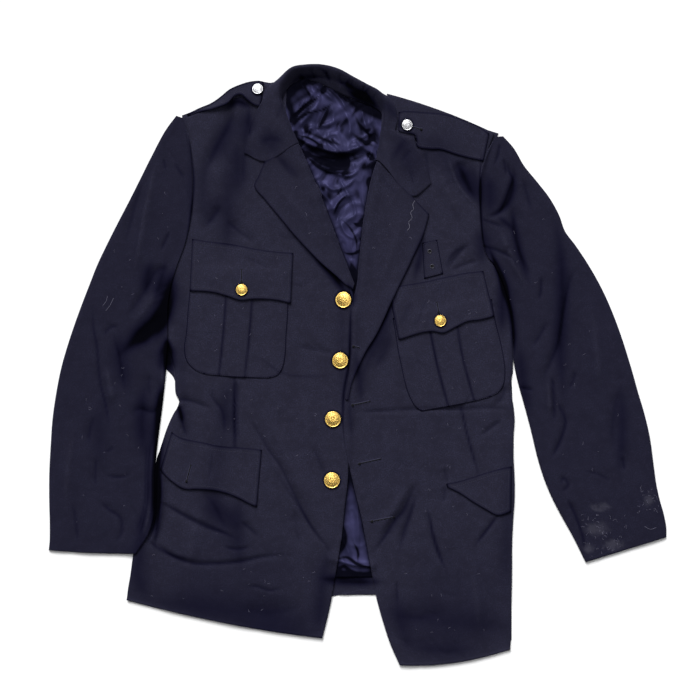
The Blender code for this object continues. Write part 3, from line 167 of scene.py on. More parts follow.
@dataclass(frozen=True)
class WoolTwill:
    """Worsted wool serge: a dry, almost black navy twill with a short nap.

    The nap lifts the tone a little where the cloth turns away, and handling leaves it
    faintly mottled. Real twill lines are 0.8 mm apart, and are drawn 1.6 mm apart here,
    because the finer ones are lost in the picture. Shade is painted into the colour where
    the painted shading mask is high, in creases, deep recesses and areas in shade, which
    are also duller, and a painted highlight makes a ridge lighter.
    """

    name: str = "wool serge twill"
    base: str = "#18172c"
    worn: str = "#222238"
    deep: str = "#141322"
    # Painted shade for creases and areas in shade. The next colour gives the random patches and
    # also paints a highlight on ridges. The one after is near-black painted shade.
    crease_shade: str = "#0c0b1e"
    ridge: str = "#2b2a40"
    deep_painted_shade: str = "#030305"
    film: str = "#8f8d9c"
    sheen_tint: str = "#8a88b4"
    twill_spacing: float = 1.6
    specular: float = 0.22
    sheen: float = 0.16
    residue: bool = False

    def make(self) -> Material:
        """Build the material on the piece's own weave map."""
        dress = Dress(self.name)
        weave = dress.add("UVMap", {}, uv_map="weave")
        painted_shading = dress.add("Attribute", {}, 2, attribute_name="painted_shading")
        cloudy, patchy, speckle = (
            dress.add(
                "TexNoise", {"Vector": weave, "Scale": scale, "Detail": detail, "Roughness": rough}
            )
            for scale, detail, rough in ((38.0, 3.0, 0.6), (120.0, 4.0, 0.8), (620.0, 2.0, 0.75))
        )
        layers = [
            (cloudy, 0.33, 0.68, 1.0, self.worn),
            (patchy, 0.46, 0.66, 0.7, self.ridge),
            (speckle, 0.64, 0.40, 1.0, self.deep),
            # Painted shade, a painted highlight on ridges, and near-black painted shade in the
            # deepest places.
            (painted_shading, 0.0, 1.0, 0.8, self.crease_shade),
            (painted_shading, 0.0, -1.0, 0.5, self.ridge),
            (painted_shading, 0.9, 2.0, 0.92, self.deep_painted_shade),
        ]
        if self.residue:
            mask = dress.add("Attribute", {}, 2, attribute_name="residue")
            patches = {"Vector": weave, "Scale": 95.0, "Detail": 4.0, "Roughness": 0.65}
            blotch = dress.add("TexNoise", patches)
            glue = dress.add("Math", {0: mask, 1: blotch}, operation="MULTIPLY")
            layers.append((glue, 0.22, 0.58, 0.075, self.film))
        pitch = 2 * math.pi / (10 * math.sqrt(2) * self.twill_spacing * MM)
        wave = {"Vector": weave, "Scale": pitch, "Distortion": 0.6, "Detail": 1.0}
        twill = dress.add("TexWave", wave, 1, bands_direction="DIAGONAL")
        grain = dress.add("Math", {0: twill, 1: 0.6, 2: speckle}, operation="MULTIPLY_ADD")
        bump = {"Strength": 0.35, "Distance": 0.00022, "Height": grain}
        # Gloss and sheen die away where shade is painted.
        gloss_under_painted_shade = [
            dress.add("MapRange", {0: painted_shading, 1: 0.0, 2: 1.6, 3: full, 4: 0.03 * full}, **SMOOTH)
            for full in (self.specular, self.sheen)
        ]
        return dress.finish(
            {
                "Base Color": dress.layered(self.base, *layers),
                "Normal": dress.add("Bump", bump),
                "Roughness": 0.86,
                "Specular IOR Level": gloss_under_painted_shade[0],
                "Sheen Weight": gloss_under_painted_shade[1],
                "Sheen Roughness": 0.45,
                "Sheen Tint": linear(self.sheen_tint),
            }
        )


@dataclass(frozen=True)
class Satin:
    """Acetate satin lining: a streaky lustre on each wrinkle, and painted shade, near black,
    between them.
    """

    name: str = "acetate satin"
    base: str = "#24243c"
    light: str = "#323150"
    shadow: str = "#040409"
    lustre: str = "#a9a7ee"

    def make(self) -> Material:
        """Build the material on the piece's own weave map."""
        dress = Dress(self.name)
        weave = dress.add("UVMap", {}, uv_map="weave")
        painted_shading = dress.add("Attribute", {}, 2, attribute_name="painted_shading")
        drawn = dress.add("Mapping", {"Vector": weave, "Scale": (1.0, 0.12, 1.0)})
        floats = dress.add(
            "TexNoise", {"Vector": drawn, "Scale": 900.0, "Detail": 2.0, "Roughness": 0.6}
        )
        cloudy = dress.add(
            "TexNoise", {"Vector": weave, "Scale": 30.0, "Detail": 2.0, "Roughness": 0.5}
        )
        # The second layer is painted shade, near black, where the painted shading mask is high.
        layers = ((cloudy, 0.3, 0.7, 1.0, self.light), (painted_shading, 0.0, 1.0, 0.96, self.shadow))
        bump = {"Strength": 0.12, "Distance": 0.0001, "Height": floats}
        return dress.finish(
            {
                "Base Color": dress.layered(self.base, *layers),
                "Normal": dress.add("Bump", bump),
                "Roughness": 0.40,
                # Gloss dies away where shade is painted.
                "Specular IOR Level": dress.add(
                    "MapRange", {0: painted_shading, 1: 0.0, 2: 1.0, 3: 0.2, 4: 0.008}, **SMOOTH
                ),
                "Specular Tint": linear(self.lustre),
            }
        )


@dataclass(frozen=True)
class StampedMetal:
    """Die-stamped button metal, bright on its relief and dull with tarnish between it."""

    name: str
    bright: str
    tarnish: str
    roughness: float = 0.24

    def make(self) -> Material:
        """Build the material on object coordinates, with the relief's own height mask."""
        dress = Dress(self.name)
        place = dress.add("TexCoord", {}, "Object")
        recess = dress.add("Attribute", {}, 2, attribute_name="recess")
        grime, fine = (
            dress.add(
                "TexNoise", {"Vector": place, "Scale": scale, "Detail": detail, "Roughness": rough}
            )
            for scale, detail, rough in ((700.0, 3.0, 0.6), (2500.0, 2.0, 0.5))
        )
        grimy = dress.add("Math", {0: grime, 1: 0.5}, operation="ADD")
        dirt = dress.add("Math", {0: recess, 1: grimy}, operation="MULTIPLY")
        low, high = 0.84, 1.3
        bump = {"Strength": 0.25, "Distance": 0.00008, "Height": fine}
        dull = {0: dirt, 1: low, 2: high, 3: self.roughness, 4: self.roughness + 0.3}
        return dress.finish(
            {
                "Base Color": dress.layered(self.bright, (dirt, low, high, 1.0, self.tarnish)),
                "Normal": dress.add("Bump", bump),
                "Roughness": dress.add("MapRange", dull, **SMOOTH),
                "Metallic": 1.0,
            }
        )


@dataclass(frozen=True)
class Thread:
    """Twisted sewing thread or a loose fibre, slightly glossier than the cloth."""

    name: str
    colour: str
    roughness: float = 0.6
    groove: str = "#191922"

    def make(self) -> Material:
        """Build the material on object coordinates."""
        dress = Dress(self.name)
        place = dress.add("TexCoord", {}, "Object")
        twist = {"Vector": place, "Scale": 1800.0, "Detail": 1.0, "Roughness": 0.5}
        ply = dress.add("TexNoise", twist)
        return dress.finish(
            {
                "Base Color": dress.layered(self.colour, (ply, 0.3, 0.7, 0.45, self.groove)),
                "Roughness": self.roughness,
                "Specular IOR Level": 0.3,
            }
        )


@dataclass(frozen=True)
class PaleFloor:
    """Matt white photographic paper with a faint unevenness."""

    name: str = "white paper"
    colour: str = "#f4f4f4"
    pulp: str = "#dcdcdc"

    def make(self) -> Material:
        """Build the material on object coordinates."""
        dress = Dress(self.name)
        place = dress.add("TexCoord", {}, "Object")
        cloud = {"Vector": place, "Scale": 6.0, "Detail": 2.0, "Roughness": 0.5}
        pulp = dress.add("TexNoise", cloud)
        faint = dress.add("Math", {0: pulp, 1: 0.04}, operation="MULTIPLY")
        mixed = {0: faint, 6: linear(self.colour), 7: linear(self.pulp)}
        tone = dress.add("Mix", mixed, 2, data_type="RGBA")
        return dress.finish({"Base Color": tone, "Roughness": 0.95, "Specular IOR Level": 0.1})


@functools.cache
def dressed(finish: WoolTwill | Satin | StampedMetal | Thread | PaleFloor) -> Material:
    """Make each finish once, so that all its pieces share one material."""
    return finish.make()


# Curves, creases and noise


def spline(knots: Array, lengths: Array, slopes: Array, steps: list[int]) -> Array:
    """Draw smooth spans between knots.

    Args:
        knots: Rows of coordinates.
        lengths: Length of each span.
        slopes: Slope at each knot.
        steps: Number of steps in each span.

    Returns:
        Rows of coordinates on the curve.
    """
    result = [knots[0]]
    for index, (span, count) in enumerate(zip(lengths, steps)):
        for step in range(1, count + 1):
            t = step / count
            result.append(
                (2 * t**3 - 3 * t**2 + 1) * knots[index]
                + (t**3 - 2 * t**2 + t) * span * slopes[index]
                + (3 * t**2 - 2 * t**3) * knots[index + 1]
                + (t**3 - t**2) * span * slopes[index + 1]
            )
    return np.array(result)


def run_along(steps: Array) -> Array:
    """Distance from the start at each end of a row of steps."""
    return np.concatenate([[0.0], np.cumsum(steps)])


def smooth_path(points: Array, per_span: int = 10) -> Array:
    """Draw a smooth curve through points, with a number of steps between two of them."""
    if len(points) < 3:
        share = np.linspace(0.0, 1.0, per_span + 1)[:, None]
        return points[0] * (1 - share) + points[-1] * share
    lengths = np.linalg.norm(np.diff(points, axis=0), axis=1)
    slopes = np.gradient(points, run_along(lengths), axis=0)
    return spline(points, lengths, slopes, [per_span] * len(lengths))


def smooth_rows(table: Table, longest: float) -> Array:
    """Fill a table of sections with rows on a smooth curve between them.

    Args:
        table: Sections whose first four columns are the two ends. One without its last
            columns takes them from the section before.
        longest: Longest step between rows.

    Returns:
        The filled rows.
    """
    full = [table[0]]
    for row in table[1:]:
        full.append(row + full[-1][len(row) :])
    rows = np.array(full, dtype=float)
    reach = np.maximum(
        np.linalg.norm(np.diff(rows[:, 0:2], axis=0), axis=1),
        np.linalg.norm(np.diff(rows[:, 2:4], axis=0), axis=1),
    )
    slopes = np.gradient(rows, run_along(reach), axis=0)
    return spline(rows, reach, slopes, [max(1, math.ceil(step / longest)) for step in reach])


def ease(share: Array) -> Array:
    """Smooth step from 0 to 1."""
    share = np.clip(share, 0.0, 1.0)
    return share * share * (3 - 2 * share)


@dataclass(frozen=True)
class Crease:
    """One soft ridge, or with a negative height one soft trough, along a smooth curve.

    A positive skew makes the slope on the left of the path gentle and that on its right
    steep. The fades are the shares of the length over which each end runs out.
    """

    width: float
    height: float
    skew: float
    start_fade: float
    end_fade: float
    path: tuple[float, ...]

    def rise(self, x: Array, y: Array) -> tuple[Array, Array]:
        """Height and painted line of shade or highlight that this curve adds at each point.

        Args:
            x: X of the points.
            y: Y of the points.

        Returns:
            Heights, and the painted line, from 1 for painted shade in a trough to -1 for a painted
            highlight on a ridge.
        """
        curve = smooth_path(np.array(self.path).reshape(-1, 2), 6)
        reach = self.width * (1 + abs(self.skew)) * 2.6
        low, high = curve.min(axis=0) - reach, curve.max(axis=0) + reach
        near = (x > low[0]) & (x < high[0]) & (y > low[1]) & (y < high[1])
        result = np.zeros_like(x)
        line = np.zeros_like(x)
        if not near.any():
            return result, line
        px = x[near]
        py = y[near]
        best = np.full(px.shape, np.inf)
        side = np.ones(px.shape)
        along = np.zeros(px.shape)
        lengths = np.linalg.norm(np.diff(curve, axis=0), axis=1)
        start = run_along(lengths)
        for index, length in enumerate(lengths):
            step = (curve[index + 1] - curve[index]) / max(length, 1e-9)
            dx = px - curve[index, 0]
            dy = py - curve[index, 1]
            t = np.clip(dx * step[0] + dy * step[1], 0.0, length)
            gap = (dx - t * step[0]) ** 2 + (dy - t * step[1]) ** 2
            closer = gap < best
            best = np.where(closer, gap, best)
            turn = step[0] * dy - step[1] * dx
            side = np.where(closer, np.where(turn >= 0, 1.0, -1.0), side)
            along = np.where(closer, start[index] + t, along)
        share = along / start[-1]
        fade = np.ones_like(share)
        if self.start_fade > 0:
            fade *= ease(share / self.start_fade)
        if self.end_fade > 0:
            fade *= ease((1 - share) / self.end_fade)
        width = self.width * (1 + self.skew * side) * (0.45 + 0.55 * fade)
        soft = np.exp(-best / width**2)
        sharp = np.exp(-1.6 * np.sqrt(best) / width)
        result[near] = self.height * fade * (0.62 * soft + 0.38 * sharp)
        # A painted shade line along a trough, and a painted highlight along a ridge.
        strength = 0.75 * math.tanh(-self.height / 3.0) * fade * min(1.0, 4.5 / self.width)
        line[near] = strength * np.exp(-best / (1.2 + 0.18 * width) ** 2)
        return result, line


def drawn(steps: tuple[float, ...]) -> tuple[float, ...]:
    """Turn a path of X and Y in drawn steps into millimetres. Y starts at half a step."""
    return tuple(
        round((step + 0.5 * (index % 2)) * DRAWN_STEP, 1) for index, step in enumerate(steps)
    )


def crease_heights(table: Table, x: Array, y: Array) -> tuple[Array, Array]:
    """Sum of the creases' heights and of their painted lines of shade and highlight at each point.
    """
    total = np.zeros_like(x)
    lines = np.zeros_like(x)
    for row in table:
        height, line = Crease(*row[:5], drawn(row[5:])).rise(x, y)
        total += height
        lines += line
    return total, lines


def strokes(table: Table, x: Array, y: Array) -> Array:
    """Sum of soft strokes that fade at both ends: reach, strength and points of each."""
    total = np.zeros_like(x)
    for reach, strength, *points in table:
        shape, _ = Crease(1.15 * reach, 1.0, 0.0, 0.4, 0.4, drawn(points)).rise(x, y)
        total += strength * shape
    return total


def lumpy(x: Array, y: Array, lump: float, seed: int) -> Array:
    """Smooth random unevenness.

    Args:
        x: X of the points.
        y: Y of the points.
        lump: Size of a lump.
        seed: Number that picks the pattern.

    Returns:
        Values from about -1 to 1.
    """
    side = 97
    table = np.random.default_rng(seed).uniform(-1.0, 1.0, (side, side))
    u = x / lump + 31.7
    v = y / lump + 17.3
    cell_u = np.floor(u).astype(int)
    cell_v = np.floor(v).astype(int)
    share_u = ease(u - cell_u)
    share_v = ease(v - cell_v)
    low, high = (
        table[cell_u % side, (cell_v + j) % side] * (1 - share_u)
        + table[(cell_u + 1) % side, (cell_v + j) % side] * share_u
        for j in (0, 1)
    )
    return low * (1 - share_v) + high * share_v


def rumple(x: Array, y: Array, size: float, seed: int) -> Array:
    """Natural unevenness of laid wool: broad swells, smaller ones and hair creases.

    Args:
        x: X of the points.
        y: Y of the points.
        size: Height of the broad swells.
        seed: Number that picks the pattern.

    Returns:
        Heights.
    """
    turned_x = 0.82 * x + 0.57 * y
    turned_y = -0.57 * x + 0.82 * y
    total = lumpy(x, y * 0.6, 46.0, seed)
    total = total + 0.55 * lumpy(turned_x, turned_y * 0.7, 19.0, seed + 1)
    total = total + 0.24 * lumpy(turned_y, turned_x, 8.0, seed + 2)
    veins = 1.0 - np.abs(lumpy(turned_x + 4.0 * total, turned_y * 0.45, 27.0, seed + 3))
    patchy = ease(1.2 * lumpy(x, y, 55.0, seed + 4) + 0.3)
    return size * (total - 1.1 * patchy * veins**9)


def quarter_round(distance: Array, width: float) -> Array:
    """1 at an edge and 0 at the roll's full width inside it, along a quarter circle."""
    share = np.clip(distance / max(width, 1e-6), 0.0, 1.0)
    return 1.0 - np.sqrt(1.0 - (1.0 - share) ** 2)


def bell(distance: Array, reach: float) -> Array:
    """1 at no distance, fading smoothly over the reach."""
    return np.exp(-((distance / reach) ** 2))


def profile(place: Array, points: Table) -> Array:
    """Height of a profile, given by its points, at each place along it."""
    return np.interp(place, [point[0] for point in points], [point[1] for point in points])


def path_distance(x: Array, y: Array, path: Array) -> Array:
    """Distance of each point from a line of points."""
    best = np.full(x.shape, np.inf)
    for a, b in zip(path[:-1], path[1:]):
        step = b - a
        length = max(float(step @ step), 1e-9)
        t = np.clip(((x - a[0]) * step[0] + (y - a[1]) * step[1]) / length, 0.0, 1.0)
        gap = (x - a[0] - t * step[0]) ** 2 + (y - a[1] - t * step[1]) ** 2
        best = np.minimum(best, gap)
    return np.sqrt(best)


def edge_dense(count: int, start: float = 0.5, end: float = 0.5) -> Array:
    """Shares from 0 to 1 that crowd towards the ends, each end by 0 to 1."""
    share = np.linspace(0.0, 1.0, count)
    return (share - start * share * (1 - share) ** 2 + end * (1 - share) * share**2)[None, :]


def laid_out(rows: Array, share: Array) -> tuple[Array, Array]:
    """X and Y of the points at each share of each section, bent by the section's bow."""
    x = rows[:, 0:1] * (1 - share) + rows[:, 2:3] * share
    y = rows[:, 1:2] * (1 - share) + rows[:, 3:4] * share
    return x, y - 4.0 * share * (1 - share) * rows[:, 4:5]


# Grids of cloth


@dataclass
class ClothGrid:
    """Top surface of one piece of cloth on a grid of rows and columns."""

    x: Array
    y: Array
    z: Array
    across: Array
    along: Array
    # Painted shade at each point, and a painted highlight where it is below 0.
    painted_shading: Array
    residue: Array | None = None

    @classmethod
    def from_plan(cls, x: Array, y: Array) -> "ClothGrid":
        """Start a flat grid and measure its weave map along rows and columns."""
        step_across = np.hypot(np.diff(x, axis=1), np.diff(y, axis=1))
        across = np.concatenate([np.zeros((len(x), 1)), np.cumsum(step_across, axis=1)], axis=1)
        across = across - across[:, -1:] / 2
        step_along = np.hypot(np.diff(x, axis=0), np.diff(y, axis=0)).mean(axis=1)
        along = run_along(step_along)[:, None] + np.zeros_like(x)
        return cls(x, y, np.zeros_like(x), across, along, np.zeros_like(x))

    def from_border(self, side: str) -> Array:
        """Distance of each point from one border: first, last, left or right."""
        row, column = {
            "first": (0, slice(None)),
            "last": (-1, slice(None)),
            "left": (slice(None), 0),
            "right": (slice(None), -1),
        }[side]
        path = np.stack((self.x[row, column], self.y[row, column]), axis=1)
        if len(path) > 12:
            path = np.vstack([path[::2], path[-1:]])
        return path_distance(self.x, self.y, path)

    def inset(self, side: str, gap: float, trim: float) -> Array:
        """Line that runs inside one border.

        Args:
            side: The border.
            gap: Distance from it.
            trim: Length left out at both ends.

        Returns:
            Rows of X, Y and Z.
        """
        stack = np.stack([self.x, self.y, self.z], axis=2)
        if side in ("left", "right"):
            stack = stack.transpose(1, 0, 2)
        if side in ("last", "right"):
            stack = stack[::-1]
        step = np.linalg.norm(np.diff(stack[:, :, :2], axis=0), axis=2)
        line = []
        for index in range(stack.shape[1]):
            place = run_along(step[:, index])
            line.append([np.interp(gap, place, stack[:, index, axis]) for axis in range(3)])
        line = np.array(line)
        run = run_along(np.linalg.norm(np.diff(line[:, :2], axis=0), axis=1))
        return line[(run >= trim) & (run <= run[-1] - trim)]

    def cut(self) -> tuple[float, float, float]:
        """Width, length and area of the plan, which is what the cloth was cut to."""
        a = np.stack([self.x, self.y], axis=2)
        one = a[1:, 1:] - a[:-1, :-1]
        two = a[1:, :-1] - a[:-1, 1:]
        area = np.abs(one[..., 0] * two[..., 1] - one[..., 1] * two[..., 0]).sum() / 2
        widths = np.hypot(np.diff(self.x, axis=1), np.diff(self.y, axis=1)).sum(axis=1)
        lengths = np.hypot(np.diff(self.x, axis=0), np.diff(self.y, axis=0)).sum(axis=0)
        return float(widths.max()), float(lengths.max()), float(area)

    def quads(self, turned: bool) -> Array:
        """Faces of the grid, pointing up."""
        rows, columns = self.x.shape
        index = np.arange(rows * columns).reshape(rows, columns)
        a = index[:-1, :-1].ravel()
        b = index[:-1, 1:].ravel()
        c = index[1:, 1:].ravel()
        d = index[1:, :-1].ravel()
        return np.stack((a, b, c, d) if turned else (a, d, c, b), axis=1)

    def points(self) -> Array:
        """Points of the grid in metres."""
        return np.stack([self.x, self.y, self.z], axis=2).reshape(-1, 3) * MM


class Pile:
    """The cloth laid so far. It says how high its top is at any place."""

    def __init__(self) -> None:
        """Start with nothing laid."""
        self.trees: dict[str, BVHTree] = {}

    def add(self, name: str, grid: ClothGrid, turned: bool) -> None:
        """Remember the top of a node, whose columns may be turned from right to left."""
        points = [Vector(point) for point in grid.points()]
        self.trees[name] = BVHTree.FromPolygons(points, grid.quads(turned).tolist())

    def tops(self, x: Array, y: Array, names: Names, reach: float = 0.0) -> Array:
        """Height of the named pieces' tops under each point, or 0 where there are none.

        Args:
            x: X of the points.
            y: Y of the points.
            names: The pieces to look at.
            reach: Distance round each point within which the highest counts.

        Returns:
            Heights.
        """
        offsets = [(0.0, 0.0)]
        if reach > 0:
            offsets += [(reach, 0.0), (-reach, 0.0), (0.0, reach), (0.0, -reach)]
        result = np.zeros(x.size)
        down = Vector((0.0, 0.0, -1.0))
        flat_x = x.ravel() * MM
        flat_y = y.ravel() * MM
        for name in names:
            cast = self.trees[name].ray_cast
            for dx, dy in offsets:
                for index in range(x.size):
                    spot = Vector((flat_x[index] + dx * MM, flat_y[index] + dy * MM, 0.2))
                    hit = cast(spot, down)[0]
                    if hit is not None and hit.z / MM > result[index]:
                        result[index] = hit.z / MM
        return result.reshape(x.shape)

    def top(self, spot: Array, names: Names, reach: float = 0.0) -> float:
        """Height of the named pieces' top at one spot."""
        return float(self.tops(spot[:1], spot[1:2], names, reach)[0])


def blurred(values: Array, times: int = 1) -> Array:
    """Average each value of a grid with its neighbours, a number of times."""
    for _ in range(times):
        wide = np.pad(values, 1, mode="edge")
        values = (
            wide[1:-1, 1:-1] * 4
            + (wide[:-2, 1:-1] + wide[2:, 1:-1] + wide[1:-1, :-2] + wide[1:-1, 2:]) * 2
            + (wide[:-2, :-2] + wide[:-2, 2:] + wide[2:, :-2] + wide[2:, 2:])
        ) / 16
    return values


def draped(wanted: Array, floor: Array, softness: int) -> Array:
    """Lift a surface off what is under it, softly, and keep its own form.

    Args:
        wanted: Heights of the surface if nothing were under it.
        floor: Lowest heights that clear what is under it.
        softness: Number of grid steps over which a lift spreads.

    Returns:
        Heights at or above both.
    """
    least = np.maximum(floor - wanted, 0.0)
    lift = least.copy()
    for _ in range(softness):
        lift = np.maximum(blurred(lift), least)
    lift = blurred(lift)
    return wanted + lift + np.maximum(least - lift, 0.0)


def new_object(name: str, points: Array, faces: Array, finish: Material) -> Object:
    """Make a smooth mesh object at the origin from points in metres and their faces."""
    mesh = bpy.data.meshes.new(name)
    mesh.from_pydata(points.tolist(), [], faces.tolist())
    mesh.polygons.foreach_set("use_smooth", [True] * len(mesh.polygons))
    mesh.materials.append(finish)
    mesh.update()
    item = bpy.data.objects.new(name, mesh)
    bpy.context.scene.collection.objects.link(item)
    return item


def declare(item: Object, node: str = "") -> None:
    """Say what a piece rides on and the CAD node that it replaces."""
    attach(item, BODY)
    if node:
        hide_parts(node)


# Pieces of cloth


@dataclass
class Sheet:
    """One piece of cloth, laid over the nodes under it on a table of its sections."""

    node: str
    table: Table
    under: Names = ()
    finish: WoolTwill | Satin = WoolTwill()
    turned: bool = False
    folds: Table = ()
    wall: float = WOOL_WALL
    seed: int = 1
    slot: str = "wool"
    grows_up: bool = False
    grid: ClothGrid = field(init=False)

    def shape(self, pile: Pile) -> None:
        """Lay out the grid and work out its heights. Each kind of piece has its own way."""
        raise NotImplementedError

    def tone(self) -> Array:
        """Painted shade and highlight at each point, with a painted shadow round each button."""
        x, y = self.grid.x, self.grid.y
        tone = PIECE_PAINTED_SHADE.get(self.node, 0.0) + strokes(PAINTED_SHADE_STROKES, x, y)
        tone = tone + strokes(PIECE_SHADE_STROKES.get(self.node, ()), x, y)
        for button in buttons():
            if self.node in button.on:
                # A painted shadow in a ring just outside the button's rim.
                rim = np.hypot(x - button.x, y - button.y) - button.diameter / 2.0
                tone = tone + 1.3 * bell(np.maximum(rim, 0.0), 2.0)
        return tone

    def top(self) -> ClothGrid:
        """The surface that the next piece may lie on."""
        return self.grid

    def cut(self) -> tuple[float, float, float]:
        """Width, length and area that the piece was cut to."""
        return self.grid.cut()

    def shell(self) -> Object:
        """Make the wall of the cloth, with its weave map and its masks."""
        grid = self.grid
        faces = grid.quads(self.turned)
        item = new_object(self.node + "_cloth", grid.points(), faces, dressed(self.finish))
        weave = item.data.uv_layers.new(name="weave")
        pairs = np.stack([grid.across.ravel(), grid.along.ravel()], axis=1) * MM
        weave.data.foreach_set("uv", pairs[faces.ravel()].ravel())
        # The painted shading and the glue film go on as point attributes for the finishes.
        for name, mask in (("painted_shading", grid.painted_shading), ("residue", grid.residue)):
            if mask is not None:
                layer = item.data.attributes.new(name, "FLOAT", "POINT")
                layer.data.foreach_set("value", np.clip(mask, -1.0, 2.0).ravel())
        wall = item.modifiers.new("Cloth thickness", "SOLIDIFY")
        wall.thickness = self.wall * MM
        wall.offset = 1.0 if self.grows_up else -1.0
        wall.use_rim = True
        return item

    def build(self, pile: Pile) -> None:
        """Make the piece, add it to the pile and say what it was cut to."""
        self.shape(pile)
        # The painted shade strokes join the painted shading that the shape began.
        self.grid.painted_shading = self.grid.painted_shading + self.tone()
        pile.add(self.node, self.top(), self.turned)
        item = self.shell()
        declare(item, self.node)
        width, length, area = self.cut()
        area = min(area, width * length)
        LOG.info("%s: cut %.0f x %.0f mm, %.0f cm2", item.name, width, length, area / 100)


@dataclass
class Panel(Sheet):
    """A front or the top of a sleeve, whose sections carry the heights of its underside."""

    outer_roll: float = SIDE_ROLL
    inner_roll: float = SEAM_ROLL
    top_height: float | None = None
    hem_height: float | None = None
    swell: float = 0.85
    edge_reach: float = 14.0
    hem_roll: float = 5.0
    softness: int = 9
    marks: Table = ()

    def shape(self, pile: Pile) -> None:
        """Round the sides, crease the cloth and drape it over what is under it."""
        rows = smooth_rows(self.table, GRID_STEP)
        width = np.linalg.norm(rows[:, 2:4] - rows[:, 0:2], axis=1)
        share = edge_dense(int(math.ceil(width.max() / GRID_STEP)) + 1)
        narrow = np.minimum(1.0, 0.35 * width / SIDE_ROLL)[:, None]
        from_outer = share * width[:, None] / narrow
        from_inner = (1 - share) * width[:, None] / narrow
        x, y = laid_out(rows, share)
        grid = ClothGrid.from_plan(x, y)
        lift = rows[:, 5:6]
        z = lift + np.zeros_like(x)
        z += (rows[:, 6:7] - lift) * quarter_round(from_outer, self.outer_roll)
        z += (rows[:, 7:8] - lift) * quarter_round(from_inner, self.inner_roll)
        inside = ease(np.minimum(from_outer, from_inner) / self.edge_reach)
        for border, level, roll in (
            ("first", self.top_height, SEAM_ROLL), ("last", self.hem_height, self.hem_roll),
        ):
            if level is not None:
                z += (level - z) * quarter_round(grid.from_border(border), roll)
        z += rumple(x, y, self.swell, self.seed) * (0.25 + 0.75 * inside)
        height, grid.painted_shading = crease_heights(self.folds, x, y)
        z += height * (0.35 + 0.65 * inside)
        floor = pile.tops(x, y, self.under, 1.0)
        floor = np.where(floor > 0.05, floor + LAYER_GAP, 0.15) + self.wall
        grid.z = draped(z + self.wall, floor, self.softness)
        if self.marks:
            grid.residue = np.zeros_like(x)
            for at_x, at_y, across, along in self.marks:
                far = ((x - at_x) / across) ** 2 + ((y - at_y) / along) ** 2
                grid.residue = np.maximum(grid.residue, np.exp(-far))
        self.grid = grid


@dataclass
class UnderSleeve(Sheet):
    """The lower half of a sleeve, flat on the table and over the skirt beside it."""

    columns: int = 26
    softness: int = 5

    def shape(self, pile: Pile) -> None:
        """Lay the cloth flat and drape it over what is under it."""
        rows = smooth_rows(self.table, HIDDEN_STEP)
        x, y = laid_out(rows, np.linspace(0.0, 1.0, self.columns)[None, :])
        self.grid = ClothGrid.from_plan(x, y)
        floor = pile.tops(x, y, self.under, 1.0)
        floor = np.where(floor > 0.05, floor + LAYER_GAP, 0.0) + self.wall
        self.grid.z = draped(np.full_like(x, self.wall), floor, self.softness)


@dataclass
class Back(Sheet):
    """The back, flat on the table, seen below the open fronts and at the neck.

    Its table gives the sides as Y, left X and right X. It is laid out in level rows that
    blend into its top line and its hem.
    """

    upper: Table = ()
    hem: Table = ()
    columns: int = 151
    top_rows: int = 14
    hem_rows: int = 10

    def shape(self, pile: Pile) -> None:
        """Lay out the rows between the top line and the hem."""
        sides = np.array(self.table)
        shares = np.linspace(0.0, 1.0, self.columns)
        levels = np.arange(sides[0, 0], sides[-1, 0], -HIDDEN_STEP)
        left = np.interp(-levels, -sides[:, 0], sides[:, 1])
        right = np.interp(-levels, -sides[:, 0], sides[:, 2])
        start, end = self.upper[0][0], self.upper[-1][0]
        top_x = start + (end - start) * shares
        top_y = profile(top_x, self.upper)
        first_x = left[0] + (right[0] - left[0]) * shares
        rows = []
        for blend in np.linspace(0.0, 1.0, self.top_rows)[:-1]:
            row_x = top_x * (1 - blend) + first_x * blend
            rows.append((row_x, top_y * (1 - blend) + levels[0] * blend))
        for level, start, end in zip(levels, left, right):
            rows.append((start + (end - start) * shares, np.full_like(shares, level)))
        last_x, last_y = rows[-1]
        hem_x = sides[-1, 1] + (sides[-1, 2] - sides[-1, 1]) * shares
        hem_y = profile(hem_x, self.hem)
        for blend in np.linspace(0.0, 1.0, self.hem_rows)[1:]:
            row_x = last_x * (1 - blend) + hem_x * blend
            rows.append((row_x, last_y * (1 - blend) + hem_y * blend))
        x, y = (np.array([row[axis] for row in rows]) for axis in (0, 1))
        self.grid = ClothGrid.from_plan(x, y)
        self.grid.z = np.full_like(x, WOOL_WALL)


